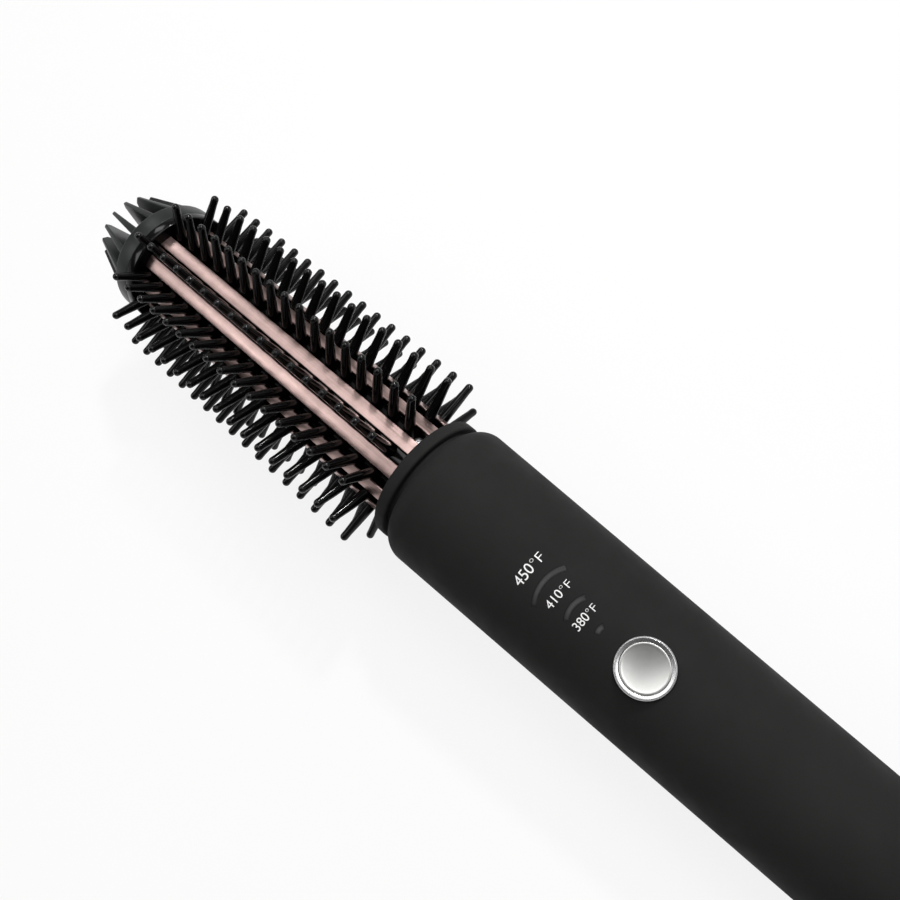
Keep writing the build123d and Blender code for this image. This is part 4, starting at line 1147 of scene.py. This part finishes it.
FLOOR_RADIUS = 1.1
SWEEP_RADIUS = 0.4
SWEEP_STEPS = 12
WALL_TOP = 0.6
FLOOR_SIDES = 96
# the floor is white round the object, and falls off to grey between the two distances
WHITE_RADIUS = 0.42
GREY_RADIUS = 1.5
FAR_GREY = 0.6
GLOW_SHARE = 0.84  # how much of the floor, as it is seen, is its own even light

# the object rests on its first bristles and on the rim of its tail
rest_front = place(FIRST_BRISTLE_X, 0, -BRISTLE_TIP)
rest_rear = place(TAIL_CAP_REAR + 2.0, 0, -TAIL_RIM)
middle = (rest_front + rest_rear) / 2
along = (rest_rear - rest_front).normalized()
across = Vector((0, 1, 0))
floor_up = across.cross(along)


def make_floor():
    """One sweep: a flat floor that curves up into a low wall all round."""
    sweep = [(0.0, 0.0), (0.4, 0.0), (FLOOR_RADIUS, 0.0)]
    for k in range(1, SWEEP_STEPS + 1):
        angle = math.radians(90 * k / SWEEP_STEPS)
        radius = FLOOR_RADIUS + SWEEP_RADIUS * math.sin(angle)
        sweep.append((radius, SWEEP_RADIUS * (1 - math.cos(angle))))
    sweep.append((FLOOR_RADIUS + SWEEP_RADIUS, WALL_TOP))
    bm = bmesh.new()
    rings = []
    for radius, height in sweep:
        ring = []
        for i in range(FLOOR_SIDES if radius else 1):
            angle = 2 * math.pi * i / FLOOR_SIDES
            flat = along * (radius * math.cos(angle)) + across * (radius * math.sin(angle))
            ring.append(bm.verts.new(middle + flat + floor_up * height))
        rings.append(ring)
    for i in range(FLOOR_SIDES):
        j = (i + 1) % FLOOR_SIDES
        bm.faces.new([rings[0][0], rings[1][i], rings[1][j]])
    for first, second in zip(rings[1:], rings[2:]):
        add_band(bm, first, second)
    return new_object("floor", bm)


def floor_white():
    """Pale floor; the camera, reflections and views through glass see most of it as even light."""
    finish = Finish("floor_white", Roughness=0.6, Specular_IOR_Level=0.2)
    finish.base(finish.colours(finish.noise(9, 3), (0.83, 0.83, 0.83), (0.86, 0.86, 0.86)))
    ray = finish.node("ShaderNodeLightPath").outputs
    seen = finish.maths("MAXIMUM", ray["Is Camera Ray"], ray["Is Glossy Ray"])
    seen = finish.maths("MAXIMUM", seen, ray["Is Transmission Ray"])
    distance = finish.node("ShaderNodeVectorMath", operation="DISTANCE")
    distance.inputs[1].default_value = middle
    finish.link(finish.position, distance.inputs[0])
    glow = finish.node("ShaderNodeEmission")
    fade = finish.ramp(distance.outputs["Value"], 1.0, FAR_GREY, WHITE_RADIUS, GREY_RADIUS)
    finish.link(fade, glow.inputs["Strength"])
    mixed = finish.node("ShaderNodeMixShader")
    finish.link(finish.maths("MULTIPLY", seen, GLOW_SHARE), mixed.inputs["Fac"])
    finish.link(finish.shader.outputs[0], mixed.inputs[1])
    finish.link(glow.outputs[0], mixed.inputs[2])
    output = finish.tree.nodes["Material Output"]
    finish.link(mixed.outputs[0], output.inputs["Surface"])
    return finish.material


floor = make_floor()
floor.data.materials.append(floor_white())

# ------------------------------------------------------------------ light and world, in metres


def softbox(name, where, aim, width, height, power):
    """Rectangular lamp facing a point."""
    data = bpy.data.lights.new(name, "AREA")
    data.shape = "RECTANGLE"
    data.size = width
    data.size_y = height
    data.energy = power
    lamp = linked(name, data)
    direction = Vector(aim) - Vector(where)
    lamp.rotation_mode = "QUATERNION"
    lamp.rotation_quaternion = direction.to_track_quat("-Z", "Y")
    lamp.location = where


softbox("front", (0.37, -0.10, 0.80), (-0.04, 0, 0), 0.60, 0.42, 1.75)
softbox("side", (-0.20, -0.38, 0.74), (-0.04, 0, 0), 0.60, 0.30, 2.3)
softbox("fill", (0.62, 0.43, 0.68), (0.08, 0, 0), 0.36, 0.30, 1.5)
softbox("nose", (0.78, -0.38, 0.60), (0.10, 0, 0), 0.22, 0.22, 0.8)
softbox("spark", (0.14, -0.50, 0.50), (0.05, 0, 0), 0.06, 0.05, 2.4)

# the studio above the wall is brighter on the side of the lamps, which is -Y
STUDIO_DIM = 0.05
STUDIO_BRIGHT = 0.32
STUDIO_EDGE = 0.7

world = bpy.data.worlds.new("studio")
bpy.context.scene.world = world
world.use_nodes = True
world_tree = world.node_tree
background = world_tree.nodes["Background"]
background.inputs["Color"].default_value = (1, 1, 1, 1)
coordinate = world_tree.nodes.new("ShaderNodeTexCoord")
split = world_tree.nodes.new("ShaderNodeSeparateXYZ")
world_tree.links.new(coordinate.outputs["Generated"], split.inputs[0])
strength = world_tree.nodes.new("ShaderNodeMapRange")
strength.inputs["From Min"].default_value = STUDIO_EDGE
strength.inputs["From Max"].default_value = -STUDIO_EDGE
strength.inputs["To Min"].default_value = STUDIO_DIM
strength.inputs["To Max"].default_value = STUDIO_BRIGHT
world_tree.links.new(split.outputs["Y"], strength.inputs["Value"])
world_tree.links.new(strength.outputs[0], background.inputs["Strength"])

bpy.context.scene.view_settings.view_transform = "Standard"
